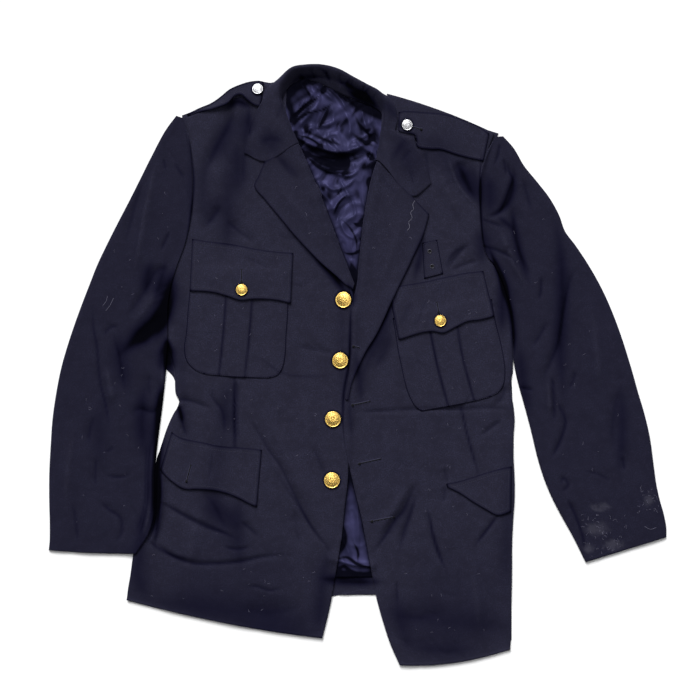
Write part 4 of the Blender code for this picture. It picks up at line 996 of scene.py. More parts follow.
@dataclass
class Lining(Sheet):
    """Satin lining of the back, loose and full of sharp wrinkles where it shows.

    Its crumples are bands of ridges: turn in degrees, spacing, height and seed.
    """

    neck_line: Table = ()
    shaded_by: tuple[Table, ...] = ()
    crumples: tuple[tuple[float, float, float, int], ...] = (
        (36, 13, 2.9, 73), (108, 11, 2.1, 74), (68, 7, 0.8, 75),
    )
    looseness: float = 0.5
    edge_margin: float = 6.0
    edge_reach: float = 22.0

    def shape(self, pile: Pile) -> None:
        """Fit the top to the neck, wrinkle the satin and paint shade in it, beside its covers too.
        """
        rows = smooth_rows(self.table, LINING_STEP * 1.15)
        width = np.linalg.norm(rows[:, 2:4] - rows[:, 0:2], axis=1).max()
        share = np.linspace(0.0, 1.0, int(width / LINING_STEP))[None, :]
        x, y = laid_out(rows, share)
        neck = smooth_path(np.array(self.neck_line))
        fade = 1.0 - ease(run_along(-np.diff(rows[:, 1]))[:, None] / 60.0)
        neck_y = np.interp(x[0], neck[:, 0], neck[:, 1]) - y[0]
        y = y + fade * neck_y[None, :]
        grid = ClothGrid.from_plan(x, y)
        edge = np.minimum(share, 1 - share) * width
        inside = 0.2 + 0.8 * ease((edge - self.edge_margin) / self.edge_reach)
        least = WOOL_WALL + LAYER_GAP + LINING_WALL
        height, lines = crease_heights(self.folds, x, y)
        crumple = self.crumple(x, y)
        strength = 0.30 + 0.70 * ease((y - 100.0) / 160.0)
        z = np.full_like(x, least + self.looseness)
        z += (height + strength * crumple) * inside
        # Painted shade along the creases and in the valleys between the crumples, faint low down
        # and strongest towards the neck.
        grid.painted_shading = np.maximum(lines, 0.0) + 1.1 * ease((1.5 - crumple) / 1.4)
        grid.painted_shading *= 0.12 + 0.8 * ease((y - 120.0) / 160.0)
        # Painted shadow beside the lapels and fronts that lie over it.
        for cover in self.shaded_by:
            path = smooth_path(np.array(cover), 2)
            grid.painted_shading = grid.painted_shading + 0.9 * np.exp(-path_distance(x, y, path) / 5.0)
        # Painted shadow of the collar along the neck line.
        grid.painted_shading = grid.painted_shading + 0.8 * bell(path_distance(x, y, neck), 12.0)
        grid.z = np.maximum(z, least)
        self.grid = grid

    def tone(self) -> Array:
        """Darkness of each point in the shade of the folds."""
        return strokes(LINING_SHADE, self.grid.x, self.grid.y)

    def crumple(self, x: Array, y: Array) -> Array:
        """Fine ridges of crumpled satin, sharpest round the neck."""
        bent_x = x + 9.0 * lumpy(x, y, 34.0, 71)
        bent_y = y + 9.0 * lumpy(x, y, 30.0, 72)
        total = np.zeros_like(x)
        for turn, size, height, seed in self.crumples:
            cos, sin = math.cos(math.radians(turn)), math.sin(math.radians(turn))
            run = bent_x * cos + bent_y * sin
            side = bent_y * cos - bent_x * sin
            ridge = 1.0 - np.abs(lumpy(0.36 * run, side, size, seed))
            total += height * ridge**2.6
        return total


class Border(Enum):
    """How a border of a sewn piece ends: how far it drops, over how much of a roll."""

    FREE = (0.55, 1.0)
    SEWN = (0.45, 1.3)


@dataclass
class SewnPiece(Sheet):
    """A pocket, flap, strap or tab that follows the panel under it."""

    free_lift: float = 0.0
    first: Border = Border.FREE
    last: Border = Border.FREE
    left: Border = Border.FREE
    right: Border = Border.FREE
    softness: int = 5
    settling: int = 14
    wave: Table = ()
    pleat: Table = ()

    def shape(self, pile: Pile) -> None:
        """Follow the cloth under it, with its own wave, pleat, creases and borders."""
        rows = smooth_rows(self.table, FINE_STEP)
        width = np.linalg.norm(rows[:, 2:4] - rows[:, 0:2], axis=1).max()
        share = edge_dense(max(8, int(width / FINE_STEP)))
        x, y = laid_out(rows, share)
        grid = ClothGrid.from_plan(x, y)
        floor = pile.tops(x, y, self.under, 1.0) + LAYER_GAP + self.wall
        z = blurred(floor, self.settling)
        z += self.free_lift * share**2
        if self.wave:
            z += profile(np.linspace(0.0, 1.0, len(rows))[:, None], self.wave)
        if self.pleat:
            z += profile(share, self.pleat)
        z += rumple(x, y, 0.14, self.seed)
        height, grid.painted_shading = crease_heights(self.folds, x, y)
        z = draped(z + height, floor, self.softness)
        for side in ("first", "last", "left", "right"):
            gap = grid.from_border(side)
            drop, roll = getattr(self, side).value
            z = z - drop * quarter_round(gap, EDGE_ROLL * roll)
            # Painted shade in a line along the border.
            grid.painted_shading = grid.painted_shading + bell(gap, 2.3)
        grid.z = np.maximum(z, floor - self.wall + 0.6)
        self.grid = grid


@dataclass
class Lapel(Sheet):
    """A turned facing, rolled at its roll line and lying on the front."""

    edge_lift: Table = ()
    settling: int = 20
    softness: int = 6
    roll_height: float = 1.6
    roll_width: float = 6.5

    def shape(self, pile: Pile) -> None:
        """Raise the roll and the free edge, and round both."""
        rows = smooth_rows(self.table, FINE_STEP)
        width = np.linalg.norm(rows[:, 2:4] - rows[:, 0:2], axis=1)
        share = edge_dense(int(width.max() / FINE_STEP), 0.8)
        x, y = laid_out(rows, share)
        grid = ClothGrid.from_plan(x, y)
        floor = pile.tops(x, y, self.under, 1.0) + LAYER_GAP + self.wall
        z = blurred(floor, self.settling)
        squeeze = np.minimum(1.0, 0.45 * width / 14.0)[:, None]
        from_roll = share * width[:, None] / squeeze
        from_edge = (1 - share) * width[:, None] / squeeze
        z += self.roll_height * np.exp(-(((from_roll - 9.0) / 8.0) ** 2))
        z += profile(np.linspace(0.0, 1.0, len(rows))[:, None], self.edge_lift) * share**1.6
        z += rumple(x, y, 0.22, self.seed)
        height, grid.painted_shading = crease_heights(self.folds, x, y)
        z = draped(z + height, floor, self.softness)
        z -= 1.7 * quarter_round(from_roll, self.roll_width)
        z -= 0.5 * quarter_round(from_edge, EDGE_ROLL)
        gorge = grid.from_border("first")
        z = z + (1.0 + 2.2 * (1.0 - share)) * np.exp(-gorge / 14.0)
        # Painted shade along the free edge and along the gorge.
        grid.painted_shading = grid.painted_shading + 0.6 * bell(grid.from_border("right"), 2.0)
        grid.painted_shading = grid.painted_shading + 0.8 * share * bell(gorge, 2.0)
        grid.z = np.maximum(z, floor - 0.25)
        self.grid = grid


@dataclass
class Collar(Sheet):
    """The collar, whose stand rises behind the neck and whose fall lies on the fronts.

    Its sections between the two named ones stand free, and those outside them lie flat.
    """

    stands_from: float = 5.6
    stands_to: float = 12.2
    sections: Array = field(init=False)

    def section(self, station: Array) -> Array:
        """Draw one section through its foot, roll, middle and edge."""
        knots = station.reshape(4, 3)
        lengths = np.linalg.norm(np.diff(knots, axis=0), axis=1)
        chords = np.diff(knots, axis=0) / lengths[:, None]
        slopes = np.vstack([chords[:1], (chords[:-1] + chords[1:]) / 2.0, chords[-1:]])
        return spline(knots, lengths, slopes, [12] * 3)

    def shape(self, pile: Pile) -> None:
        """Draw the underside through the sections and rest its fall on the fronts."""
        stations = smooth_path(np.array(self.table), 10)
        self.sections = np.array([self.section(station) for station in stations])
        x, y, z = (self.sections[:, :, axis] for axis in range(3))
        grid = ClothGrid.from_plan(x, y)
        row = np.linspace(0.0, len(self.table) - 1, len(x))[:, None] + np.zeros_like(x)
        column = np.linspace(0.0, 3.0, x.shape[1])[None, :] + np.zeros_like(x)
        step = np.linalg.norm(np.diff(self.sections, axis=1), axis=2)
        grid.across = np.concatenate([np.zeros((len(x), 1)), np.cumsum(step, axis=1)], axis=1)
        flat = np.maximum(
            ease((self.stands_from - row) / 1.2), ease((row - self.stands_to) / 1.2)
        )
        fall = ease((column - 1.0) / 0.6)
        floor = pile.tops(x, y, self.under, 1.0) + LAYER_GAP
        z = z + flat * fall * rumple(x, y, 0.35, 41)
        z = z + (1 - flat) * (rumple(x, y, 0.3, 43) + 0.5 * lumpy(x, y, 7.0, 44))
        z = z - 0.9 * np.maximum(ease(1.6 - row), ease(row - (len(self.table) - 2.6)))
        height, grid.painted_shading = crease_heights(self.folds, x, y)
        z = z + np.maximum(fall * flat, 1.0 - flat) * height
        resting = (row < self.stands_from) | (row > self.stands_to)
        z = np.where(resting, draped(z, floor, 5), z)
        grid.z = np.maximum(z, self.wall + 0.1)
        self.grid = grid

    def top(self) -> ClothGrid:
        """The upper side of the collar."""
        grid = self.grid
        return ClothGrid(grid.x, grid.y, grid.z + self.wall, grid.across, grid.along, grid.painted_shading)

    def cut(self) -> tuple[float, float, float]:
        """Width, length and area, measured round the roll."""
        across = np.linalg.norm(np.diff(self.sections, axis=1), axis=2)
        along = np.linalg.norm(np.diff(self.sections, axis=0), axis=2)
        cell = (across[1:] + across[:-1]) / 2 * (along[:, 1:] + along[:, :-1]) / 2
        return float(across.sum(axis=1).max()), float(along.sum(axis=0).max()), float(cell.sum())


# Metal parts, modelled one by one


def deselect_all() -> None:
    """Leave edit mode's selections and every object unselected."""
    if bpy.context.object is not None and bpy.context.object.mode != "OBJECT":
        bpy.ops.object.mode_set(mode="OBJECT")
    bpy.ops.object.select_all(action="DESELECT")


def edit_all() -> Object:
    """Enter edit mode on the new object with all of it selected."""
    bpy.ops.object.mode_set(mode="EDIT")
    bpy.ops.mesh.select_all(action="SELECT")
    return bpy.context.object


def close_form() -> None:
    """Turn the faces outwards and leave edit mode."""
    bpy.ops.mesh.select_all(action="SELECT")
    bpy.ops.mesh.normals_make_consistent(inside=False)
    bpy.ops.object.mode_set(mode="OBJECT")


def turned_form(radius: float, rings: Table) -> Object:
    """Raise a closed round form from a disc by extruding and scaling its top face.

    Args:
        radius: Radius of the disc.
        rings: Radius and height of each ring above the disc.

    Returns:
        The form, standing on the origin.
    """
    deselect_all()
    bpy.ops.mesh.primitive_circle_add(vertices=56, radius=radius * MM, fill_type="NGON")
    item = edit_all()
    last_radius = radius
    last_height = 0.0
    for next_radius, height in rings:
        bpy.ops.mesh.extrude_region_move(
            TRANSFORM_OT_translate={"value": (0, 0, (height - last_height) * MM)}
        )
        scale = next_radius / last_radius
        bpy.ops.transform.resize(value=(scale, scale, 1.0))
        last_radius = next_radius
        last_height = height
    close_form()
    return item


def raised_dot(radius: float, size: tuple[float, float, float]) -> Object:
    """One pip of the relief: a ball scaled along each axis, with its underside cut off."""
    deselect_all()
    bpy.ops.mesh.primitive_ico_sphere_add(subdivisions=2, radius=radius * MM)
    item = edit_all()
    bpy.ops.transform.resize(value=size)
    bpy.ops.mesh.bisect(
        plane_co=(0, 0, -0.35 * radius * size[2] * MM),
        plane_no=(0, 0, 1),
        clear_inner=True,
        use_fill=True,
    )
    bpy.ops.object.mode_set(mode="OBJECT")
    return item


def place_metal(item: Object, node: str, x: float, y: float, z: float) -> None:
    """Move a metal part to its seat, shade it smooth and name it after its node."""
    item.data.transform(Matrix.Translation((x * MM, y * MM, z * MM)))
    item.data.polygons.foreach_set("use_smooth", [True] * len(item.data.polygons))
    item.data.update()
    item.name = node + "_metal"
    item.data.name = item.name
    declare(item, node)
    LOG.info("%s: seated %.1f mm up", item.name, z)


@dataclass
class CoatButton:
    """A domed, die-stamped coat button with a plain rosette inside a beaded rim."""

    node: str
    diameter: float
    x: float
    y: float
    on: Names
    finish: StampedMetal
    slot: str
    lean: Pair = (0.0, 0.0)
    petals: int = 9
    beads: int = 26
    small_crown: float = 3.9
    large_crown: float = 4.25

    def dome(self) -> tuple[Pair, ...]:
        """Radius and height of each ring of the face, from the shank to the crown."""
        r = self.diameter / 2
        rings = [(0.42 * r, 1.0), (0.90 * r, 1.15), (0.97 * r, 1.6), (r, 2.2)]
        rings += [(0.985 * r, 2.75), (0.94 * r, 3.0), (0.90 * r, 2.92), (0.875 * r, 2.72)]
        crown = self.large_crown if self.diameter > 20 else self.small_crown
        for share in (0.86, 0.78, 0.68, 0.56, 0.42, 0.26, 0.10):
            rings.append((share * r, 2.7 + (crown - 2.7) * (1 - (share / 0.88) ** 2)))
        return tuple(rings)

    def face_height(self, distance: Array) -> Array:
        """Height of the plain dome at a distance from its middle."""
        return profile(distance, [ring for ring in self.dome() if ring[1] >= 2.2][::-1])

    def model(self) -> Object:
        """Make the button at the origin."""
        r = self.diameter / 2
        parts = [turned_form(0.42 * r, self.dome())]
        # The boss, petals, leaves and beads: radius and scale of a pip, how many, how far
        # out they lie, and the share of a step by which they are turned.
        relief = (
            (0.12, (1.0, 1.0, 0.6), 1, 0.0, 0.0),
            (0.16, (1.0, 0.42, 0.5), self.petals, 0.33, 0.0),
            (0.075, (1.2, 0.6, 0.8), self.petals, 0.60, 0.5),
            (0.062, (1.0, 1.0, 0.9), self.beads, 0.80, 0.0),
        )
        for size, scale, count, share, offset in relief:
            pattern = raised_dot(size * r, scale)
            height = float(self.face_height(np.array(share * r)))
            for index in range(count):
                angle = 2 * math.pi * (index + offset) / count
                copy = pattern.copy()
                copy.data = pattern.data.copy()
                bpy.context.scene.collection.objects.link(copy)
                out = share * r * MM
                place = (out * math.cos(angle), out * math.sin(angle), height * MM)
                turn = Matrix.Rotation(angle, 4, "Z")
                copy.data.transform(Matrix.Translation(place) @ turn)
                parts.append(copy)
            bpy.data.objects.remove(pattern)
        deselect_all()
        for part in parts:
            part.select_set(True)
        bpy.context.view_layer.objects.active = parts[0]
        bpy.ops.object.join()
        deselect_all()
        return parts[0]

    def build(self, pile: Pile) -> None:
        """Make the button and set it on the cloth under it, leaning as the cloth does."""
        item = self.model()
        mesh = item.data
        points = np.array([vertex.co[:] for vertex in mesh.vertices]) / MM
        distance = np.hypot(points[:, 0], points[:, 1])
        above = points[:, 2] - self.face_height(distance)
        recess = np.clip(1.0 - above / 0.45, 0.0, 1.0) * (distance < 0.885 * self.diameter / 2)
        recess = recess * (points[:, 2] > 2.3)
        layer = mesh.attributes.new("recess", "FLOAT", "POINT")
        layer.data.foreach_set("value", recess)
        reach = self.diameter * 0.42
        around_x = self.x + reach * np.array([1.0, -1.0, 0.0, 0.0])
        around_y = self.y + reach * np.array([0.0, 0.0, 1.0, -1.0])
        level = pile.tops(around_x, around_y, self.on)
        slope_x = float(np.clip((level[0] - level[1]) / (2 * reach), -0.2, 0.2)) + self.lean[0]
        slope_y = float(np.clip((level[2] - level[3]) / (2 * reach), -0.2, 0.2)) + self.lean[1]
        normal = Vector((-slope_x, -slope_y, 1.0)).normalized()
        mesh.transform(Vector((0, 0, 1)).rotation_difference(normal).to_matrix().to_4x4())
        low = np.array([vertex.co[:] for vertex in mesh.vertices]) / MM
        spots = low[low[:, 2] < 1.4 + 0.1 * self.diameter][::3]
        floor = pile.tops(spots[:, 0] + self.x, spots[:, 1] + self.y, self.on)
        mesh.materials.clear()
        mesh.materials.append(dressed(self.finish))
        rise = float((floor - spots[:, 2]).max()) + 0.1
        place_metal(item, self.node, self.x, self.y, rise)


@dataclass
class Eyelet:
    """A rolled metal eyelet set through the badge tab, with painted shade inside its hole."""

    node: str
    x: float
    y: float
    on: Names
    finish: StampedMetal
    # Near-black finish of the hole, painted shade.
    inside: Thread
    foot: float = 2.9
    rings: Table = ((3.2, 0.35), (3.05, 0.7), (2.75, 0.9), (2.4, 0.85), (2.15, 0.6))
    depth: float = 0.5

    def build(self, pile: Pile) -> None:
        """Make the eyelet and set it on the tab."""
        deselect_all()
        bpy.ops.mesh.primitive_circle_add(vertices=40, radius=self.foot * MM, fill_type="NGON")
        item = edit_all()
        for radius, height in self.rings:
            bpy.ops.mesh.extrude_region_move(TRANSFORM_OT_translate={"value": (0, 0, 0)})
            mesh = bmesh.from_edit_mesh(item.data)
            for vertex in mesh.verts:
                if vertex.select:
                    angle = math.atan2(vertex.co.y, vertex.co.x)
                    out = radius * MM
                    vertex.co = (out * math.cos(angle), out * math.sin(angle), height * MM)
            bmesh.update_edit_mesh(item.data)
        sunk = (0, 0, -self.depth * MM)
        bpy.ops.mesh.extrude_region_move(TRANSFORM_OT_translate={"value": sunk})
        item.data.materials.append(dressed(self.finish))
        item.data.materials.append(dressed(self.inside))
        close_form()
        # The middle caps, the floor of the hole and the underside, take the painted shade finish.
        for polygon in item.data.polygons:
            polygon.material_index = int(polygon.center.xy.length < 0.2 * MM)
        top = pile.top(np.array([self.x, self.y]), self.on, 3.0)
        place_metal(item, self.node, self.x, self.y, top + 0.02)


# Thread work and fibres


@dataclass
class Strands:
    """Threads gathered into one joined mesh."""

    name: str
    finish: Thread
    points: list[Array] = field(default_factory=list)
    faces: list[Array] = field(default_factory=list)

    def gather(self, points: Array, faces: Array) -> None:
        """Add one strand."""
        start = sum(len(part) for part in self.points)
        self.points.append(points)
        self.faces.append(faces + start)

    def build(self) -> Object:
        """Make the joined mesh."""
        points = np.vstack(self.points) * MM
        item = new_object(self.name, points, np.vstack(self.faces), dressed(self.finish))
        declare(item)
        LOG.info("%s: %d strands", self.name, len(self.points))
        return item


@dataclass
class ThreadWork(Strands):
    """Rows of stitches, each a short tube that is tapered and sunk at both ends.

    The rings give how far along a stitch of unit size each ring lies, its half width and
    its height.
    """

    rings: Table = (
        (-0.5, 0.35, -0.35), (-0.28, 0.5, 0.12), (0.0, 0.5, 0.22), (0.28, 0.5, 0.12),
        (0.5, 0.35, -0.35),
    )
    corners: int = 5
    thickness: float = 0.42
    spacing: float = 3.0
    length: float = 2.2
    width: float = 0.45

    def stitch(self, centre: Array, direction: Array, length: float, width: float) -> None:
        """Add one stitch.

        Args:
            centre: Its middle.
            direction: The way it runs.
            length: Its length.
            width: Its width.
        """
        sides = self.corners
        base = []
        faces = []
        for number, (along, wide, height) in enumerate(self.rings):
            for corner in range(sides):
                angle = 2 * math.pi * corner / sides
                up = height + self.thickness * math.sin(angle)
                base.append((along, wide * math.cos(angle), up))
                a = number * sides + corner
                b = number * sides + (corner + 1) % sides
                faces.append((a, a + sides, b + sides, b))
        base = np.array(base)
        forward = direction / np.linalg.norm(direction)
        side = np.cross((0.0, 0.0, 1.0), forward)
        side = side / np.linalg.norm(side)
        placed = (
            centre
            + base[:, 0:1] * length * forward
            + base[:, 1:2] * width * side
            + base[:, 2:3] * width * np.cross(forward, side)
        )
        self.gather(placed, np.array(faces[:-sides]))

    def row(self, path: Array) -> None:
        """Add a row of running stitches along a path of points."""
        place = run_along(np.linalg.norm(np.diff(path, axis=0), axis=1))
        for mark in np.arange(self.spacing / 2, place[-1], self.spacing):
            start, end = (
                np.array([np.interp(at, place, path[:, axis]) for axis in range(3)])
                for at in (mark - self.length / 2, mark + self.length / 2)
            )
            self.stitch((start + end) / 2, end - start, self.length, self.width)

    def buttonhole(self, pile: Pile, on: Names, start: Pair, end: Pair) -> None:
        """Work the stitches round a buttonhole, with a round eye at its start.

        Args:
            pile: The cloth laid so far.
            on: The piece that the hole is in.
            start: X and Y of the eye.
            end: X and Y of the other end.
        """
        a = np.array(start)
        b = np.array(end)
        length = float(np.linalg.norm(b - a))
        forward = (b - a) / length
        side = np.array([-forward[1], forward[0]])
        spots = []
        for mark in np.arange(1.4, length, 0.85):
            for hand in (1.0, -1.0):
                spots.append((a + forward * mark + side * hand, side * hand, 1.5))
        for angle in np.arange(0.0, 2 * math.pi, 0.48):
            out = forward * math.cos(angle) + side * math.sin(angle)
            if out @ forward < 0.75:
                spots.append((a + out * 1.9, out, 1.4))
        spots.append((b, side, 2.8))
        for centre, direction, size in spots:
            middle = np.append(centre, pile.top(centre, on) + 0.12)
            self.stitch(middle, np.append(direction, 0.0), size, 0.7)

    def slit(self, pile: Pile, on: Names, start: Pair, end: Pair) -> None:
        """Lay a dark strip of painted shadow along an open slit and on its round eye.

        Args:
            pile: The cloth laid so far.
            on: The piece that the slit is in.
            start: X and Y of the eye.
            end: X and Y of the other end.
        """
        a = np.array(start)
        run = np.array(end) - a
        forward = np.append(run / np.linalg.norm(run), 0.0)
        for share in np.linspace(0.0, 1.0, 7):
            spot = a + run * share
            centre = np.append(spot, pile.top(spot, on) + 0.12)
            self.stitch(centre, forward, np.linalg.norm(run) / 4.5, 1.7)
        self.stitch(np.append(a, pile.top(a, on) + 0.2), forward, 4.2, 3.8)

    def build(self) -> Object:
        """Make the joined mesh and close the ends of its stitches."""
        item = super().build()
        shape = bmesh.new()
        shape.from_mesh(item.data)
        rims = [edge for edge in shape.edges if edge.is_boundary]
        bmesh.ops.holes_fill(shape, edges=rims, sides=self.corners)
        bmesh.ops.recalc_face_normals(shape, faces=shape.faces)
        shape.to_mesh(item.data)
        shape.free()
        return item


@dataclass
class Fibres(Strands):
    """Lint and loose threads lying on the cloth, each a thin bent tube."""

    def lay(self, pile: Pile, on: Names, path: Table, radius: float, per_span: int = 3) -> None:
        """Lay one fibre.

        Args:
            pile: The cloth laid so far.
            on: The pieces that it may lie on.
            path: Rows of X and Y.
            radius: Radius of the fibre.
            per_span: Steps between two points of the path.
        """
        curve = smooth_path(np.array(path), per_span)
        height = pile.tops(curve[:, 0], curve[:, 1], on)
        if height.min() < 0.5:
            return
        centre = np.column_stack([curve, height + radius * 0.8])
        tangent = np.gradient(centre, axis=0)
        tangent /= np.linalg.norm(tangent, axis=1)[:, None]
        side = np.cross(tangent, (0.0, 0.0, 1.0))
        side /= np.linalg.norm(side, axis=1)[:, None]
        up = np.cross(side, tangent)
        rings = []
        faces = []
        for corner in range(4):
            angle = math.pi / 4 + math.pi / 2 * corner
            rings.append(centre + radius * (side * math.cos(angle) + up * math.sin(angle)))
        last = (len(centre) - 1) * 4
        for ring in range(0, last, 4):
            for corner in range(4):
                a = ring + corner
                b = ring + (corner + 1) % 4
                faces.append((a, b, b + 4, a + 4))
        faces.append((3, 2, 1, 0))
        faces.append((last, last + 1, last + 2, last + 3))
        self.gather(np.stack(rings, axis=1).reshape(-1, 3), np.array(faces))

    def scatter(
        self, pile: Pile, on: Names, box: Box, count: int, longest: float, radius: float,
        seed: int,
    ) -> None:
        """Scatter short curled fibres over a region.

        Args:
            pile: The cloth laid so far.
            on: The pieces that they may lie on.
            box: Lowest X and Y and highest X and Y.
            count: Number of fibres tried.
            longest: Length of the longest fibre.
            radius: Radius of a fibre.
            seed: Number that picks the places.
        """
        random = np.random.default_rng(seed)
        for _ in range(count):
            spot = np.array([random.uniform(box[0], box[2]), random.uniform(box[1], box[3])])
            heading = random.uniform(0.0, 2 * math.pi)
            curl = random.uniform(-0.8, 0.8)
            length = random.uniform(1.5, longest)
            path = [spot]
            for _ in range(4):
                heading += curl + random.uniform(-0.35, 0.35)
                step = np.array([math.cos(heading), math.sin(heading)])
                path.append(path[-1] + length / 4 * step)
            self.lay(pile, on, path, radius)


# Tables. Outlines, heights and sizes are in millimetres, and the paths of creases and
# strokes are in drawn steps.

# Fronts and sleeves: X and Y of the outer end and of the inner end of each section, its
# bow, and the height of its underside in the middle, at the outer and at the inner end.
# A section without its last numbers has those of the one before it.
FRONT_RIGHT = (
    (-243.8, 353.9, -135.8, 398.3, 0, 4.8, 3.6, 4.8), (-239.5, 322.5, -115.8, 362.5),
    (-235.9, 286.7, -86.5, 313.9), (-235.2, 251, -72.9, 279.6), (-235.9, 222.4, -58.6, 243.8),
    (-240.2, 195.2, -45.8, 208.1), (-247.4, 168, -34.3, 175.2),
    (-256, 145.1, -24.3, 148, 0, 4.8, 3.4), (-263.8, 120.8, -12.9, 118, 0, 4.8, 3),
    (-268.8, 95.1, -5.7, 86.5, 0, 4.8, 2.2, 4), (-270.3, 62.2, -1.4, 50.8, 0, 4.8, 1.9, 3.6),
    (-269.6, 29.3, -1.4, 10.7), (-263.1, 5, -2.1, -20.7), (-260.3, -17.9, -3.6, -46.5),
    (-258.8, -40.8, -5.7, -70.8), (-253.1, -53.6, -7.1, -87.9), (-261.7, -67.9, -8.6, -103.7),
    (-270.3, -86.5, -10.7, -123.7), (-278.1, -109.4, -12.2, -146.6), (-286, -135.1, -13.6, -170.9),
    (-294.6, -170.9, -17.2, -199.5), (-304.6, -213.8, -20.7, -235.2, 0, 4.4, 1.9, 3.4),
    (-314.6, -249.5, -24.3, -261, 0, 4.2, 1.9, 3.2), (-320.3, -273.8, -28.6, -286.7, 0, 4, 1.9, 3),
    (-323.2, -295.3, -32.2, -309.6, 1.4, 3.8, 1.9, 2.6),
    (-326.8, -316.7, -38.6, -343.9, 4.3, 3.4, 1.9, 2.2),
    (-328.9, -333.9, -49.3, -389, 5.7, 2.8, 1.9, 2),
)
FRONT_LEFT = (
    (195.9, 331.8, 42.9, 388.2, -4.3, 4.8, 3.6, 4.8), (187.3, 308.2, 41.5, 343.9, 0),
    (178.8, 282.4, 32.9, 305.3), (175.2, 253.8, 23.6, 265.3), (175.9, 225.2, 16.4, 229.5),
    (177.3, 199.5, 11.4, 199.5), (179.5, 173.7, 7.9, 168), (185.9, 155.2, 5.7, 142.3),
    (197.3, 139.4, 4.3, 122.3, 0, 4.8, 3.2), (207.3, 119.4, 2.1, 108, 0, 4.8, 2.6),
    (215.9, 93.7, -1.4, 90.8, 0, 4.8, 1.9), (221.6, 65.1, -5, 67.9), (223.1, 33.6, -6.4, 42.2),
    (223.1, 7.9, -7.9, 16.4), (221.6, -12.2, -10, -9.3), (218.8, -32.2, -12.2, -32.2),
    (223.1, -55.1, -15.7, -55.1, 0, 4.8, 1.9, 4), (225.2, -77.9, -19.7, -77.9, 0, 4.8, 1.9, 3.8),
    (223.1, -106.5, -18.6, -106.5, 0, 4.8, 1.9, 3.4),
    (223.8, -132.3, -13.3, -133.7, 0, 4.8, 1.9, 3.2), (225.2, -160.9, -6.4, -163.7, 0, 4.8, 1.9, 3),
    (225.2, -192.3, 0.7, -193.8), (223.1, -220.9, 7.9, -223.8),
    (221.6, -256.7, 14.3, -258.1, 0, 4.6), (221.6, -292.4, 20.7, -293.9, 0, 4.4),
    (220.9, -328.2, 27.2, -329.6, 0, 4, 1.9, 2.4), (219.5, -361.1, 36.5, -363.9, 0, 3.6, 1.9, 2.2),
    (220.2, -384, 47.2, -396.8, 2.9, 3.2, 1.9, 2), (218.8, -404.7, 60.8, -427.6, 7.9, 2.8),
)
SLEEVE_RIGHT = (
    (-258.1, 356.8, -248.2, 353.2, 0, 3.6, 2.6, 3.2),
    (-273.1, 336.8, -239.8, 322.5, 0, 4.4, 1.9, 3.4), (-294.6, 296.7, -235.9, 286.7),
    (-311.7, 262.4, -235.2, 251), (-326.8, 232.4, -235.9, 222.4), (-343.2, 200.9, -240.2, 195.2),
    (-358.9, 169.5, -247.4, 168), (-371.1, 143.7, -256, 145.1, 0, 4.4, 1.9, 3.2),
    (-381.8, 116.5, -263.8, 120.8, 0, 4.4, 1.9, 2.8), (-391.8, 90.8, -269, 95.1, 0, 4.4, 1.9, 2.2),
    (-403.3, 59.3, -270.4, 62.2, 0, 4.4, 1.9, 1.9), (-413.3, 29.3, -270.4, 29.3),
    (-423.3, -6.4, -273.1, -9.3), (-429.7, -39.3, -276, -39.3), (-434.7, -73.6, -280, -72.2),
    (-437.6, -113.7, -285, -110.8), (-439.7, -156.6, -288.6, -149.4),
    (-439.7, -196.6, -288.9, -189.5), (-439, -223.8, -290.3, -216.6, 0, 4.2),
    (-439, -246.7, -297.4, -239.5, 0, 3.8), (-440.4, -263.8, -316, -268.8, 1.4, 3.2),
)
SLEEVE_LEFT = (
    (208.8, 327.5, 197.9, 326.8, 0, 3.6, 2.6, 3.2), (223.1, 311.7, 187.8, 307.4, 0, 4.4, 1.9, 3.4),
    (238.8, 285.3, 178.9, 281.7), (257.4, 262.4, 175.2, 253.8), (276, 238.1, 175.9, 225.2),
    (288.9, 214.5, 177.3, 199.5), (297.4, 191.6, 179.6, 174.5), (311.7, 172.3, 186, 156.6),
    (328.9, 146.6, 197.5, 140.9, 0, 4.4, 1.9, 3), (343.2, 122.3, 207.6, 120.1, 0, 4.4, 1.9, 2.4),
    (355.4, 98, 216.1, 94.4, 0, 4.4, 1.9, 1.9), (367.5, 69.4, 221.8, 65.8),
    (378.9, 37.9, 223.5, 35), (387.5, 10.7, 223.8, 7.9), (394.7, -13.6, 228.1, -16.4),
    (401.8, -39.3, 234.5, -40.8), (410.4, -67.9, 241.7, -66.5), (418.3, -102.2, 249.5, -96.5),
    (423.3, -138, 258.1, -132.3), (427.6, -169.5, 269.6, -168), (432.6, -192.3, 281.7, -195.2),
    (437.6, -209.5, 293.1, -216.6, 0, 4.2), (441.2, -226.7, 306, -239.5, 0, 3.8),
    (441.9, -245.2, 326.8, -281, 0, 3.2),
)
# Lapels from the gorge to the button: roll line, free edge and bow.
LAPEL_RIGHT = (
    (-83.4, 316.9, -132.6, 290.1, 0), (-75.8, 301, -140.1, 271.7), (-68.6, 283.9, -146.6, 256.7),
    (-61.5, 266.7, -131.6, 236.7), (-52.9, 246.7, -110.1, 210.9), (-42.9, 220.9, -88.7, 185.2),
    (-32.9, 193.8, -70.1, 165.2), (-24.3, 169.5, -50, 145.1), (-15.7, 148, -30, 128),
    (-8.6, 129.4, -15.7, 115.1), (-3.6, 117.3, -5.7, 108.7),
)
LAPEL_LEFT = (
    (27.9, 291.3, 103, 215.9, -0.7), (20, 265.3, 100.1, 205.2, 0), (13.6, 233.8, 96.1, 190.9),
    (7.9, 198.1, 90.1, 175.2), (5.7, 175.2, 81.5, 158), (3.6, 158, 72.9, 139.4),
    (2.1, 145.1, 61.5, 116.5), (0, 118, 47.2, 86.5), (-5.7, 90.8, 40, 70.1),
    (-10, 65.1, 27.2, 43.6), (-10, 39.3, 12.9, 20.7), (-12.2, 7.9, 0.7, -5),
    (-14.3, -23.6, -7.9, -26.5), (-16.9, -47.9, -12.2, -49.3),
)
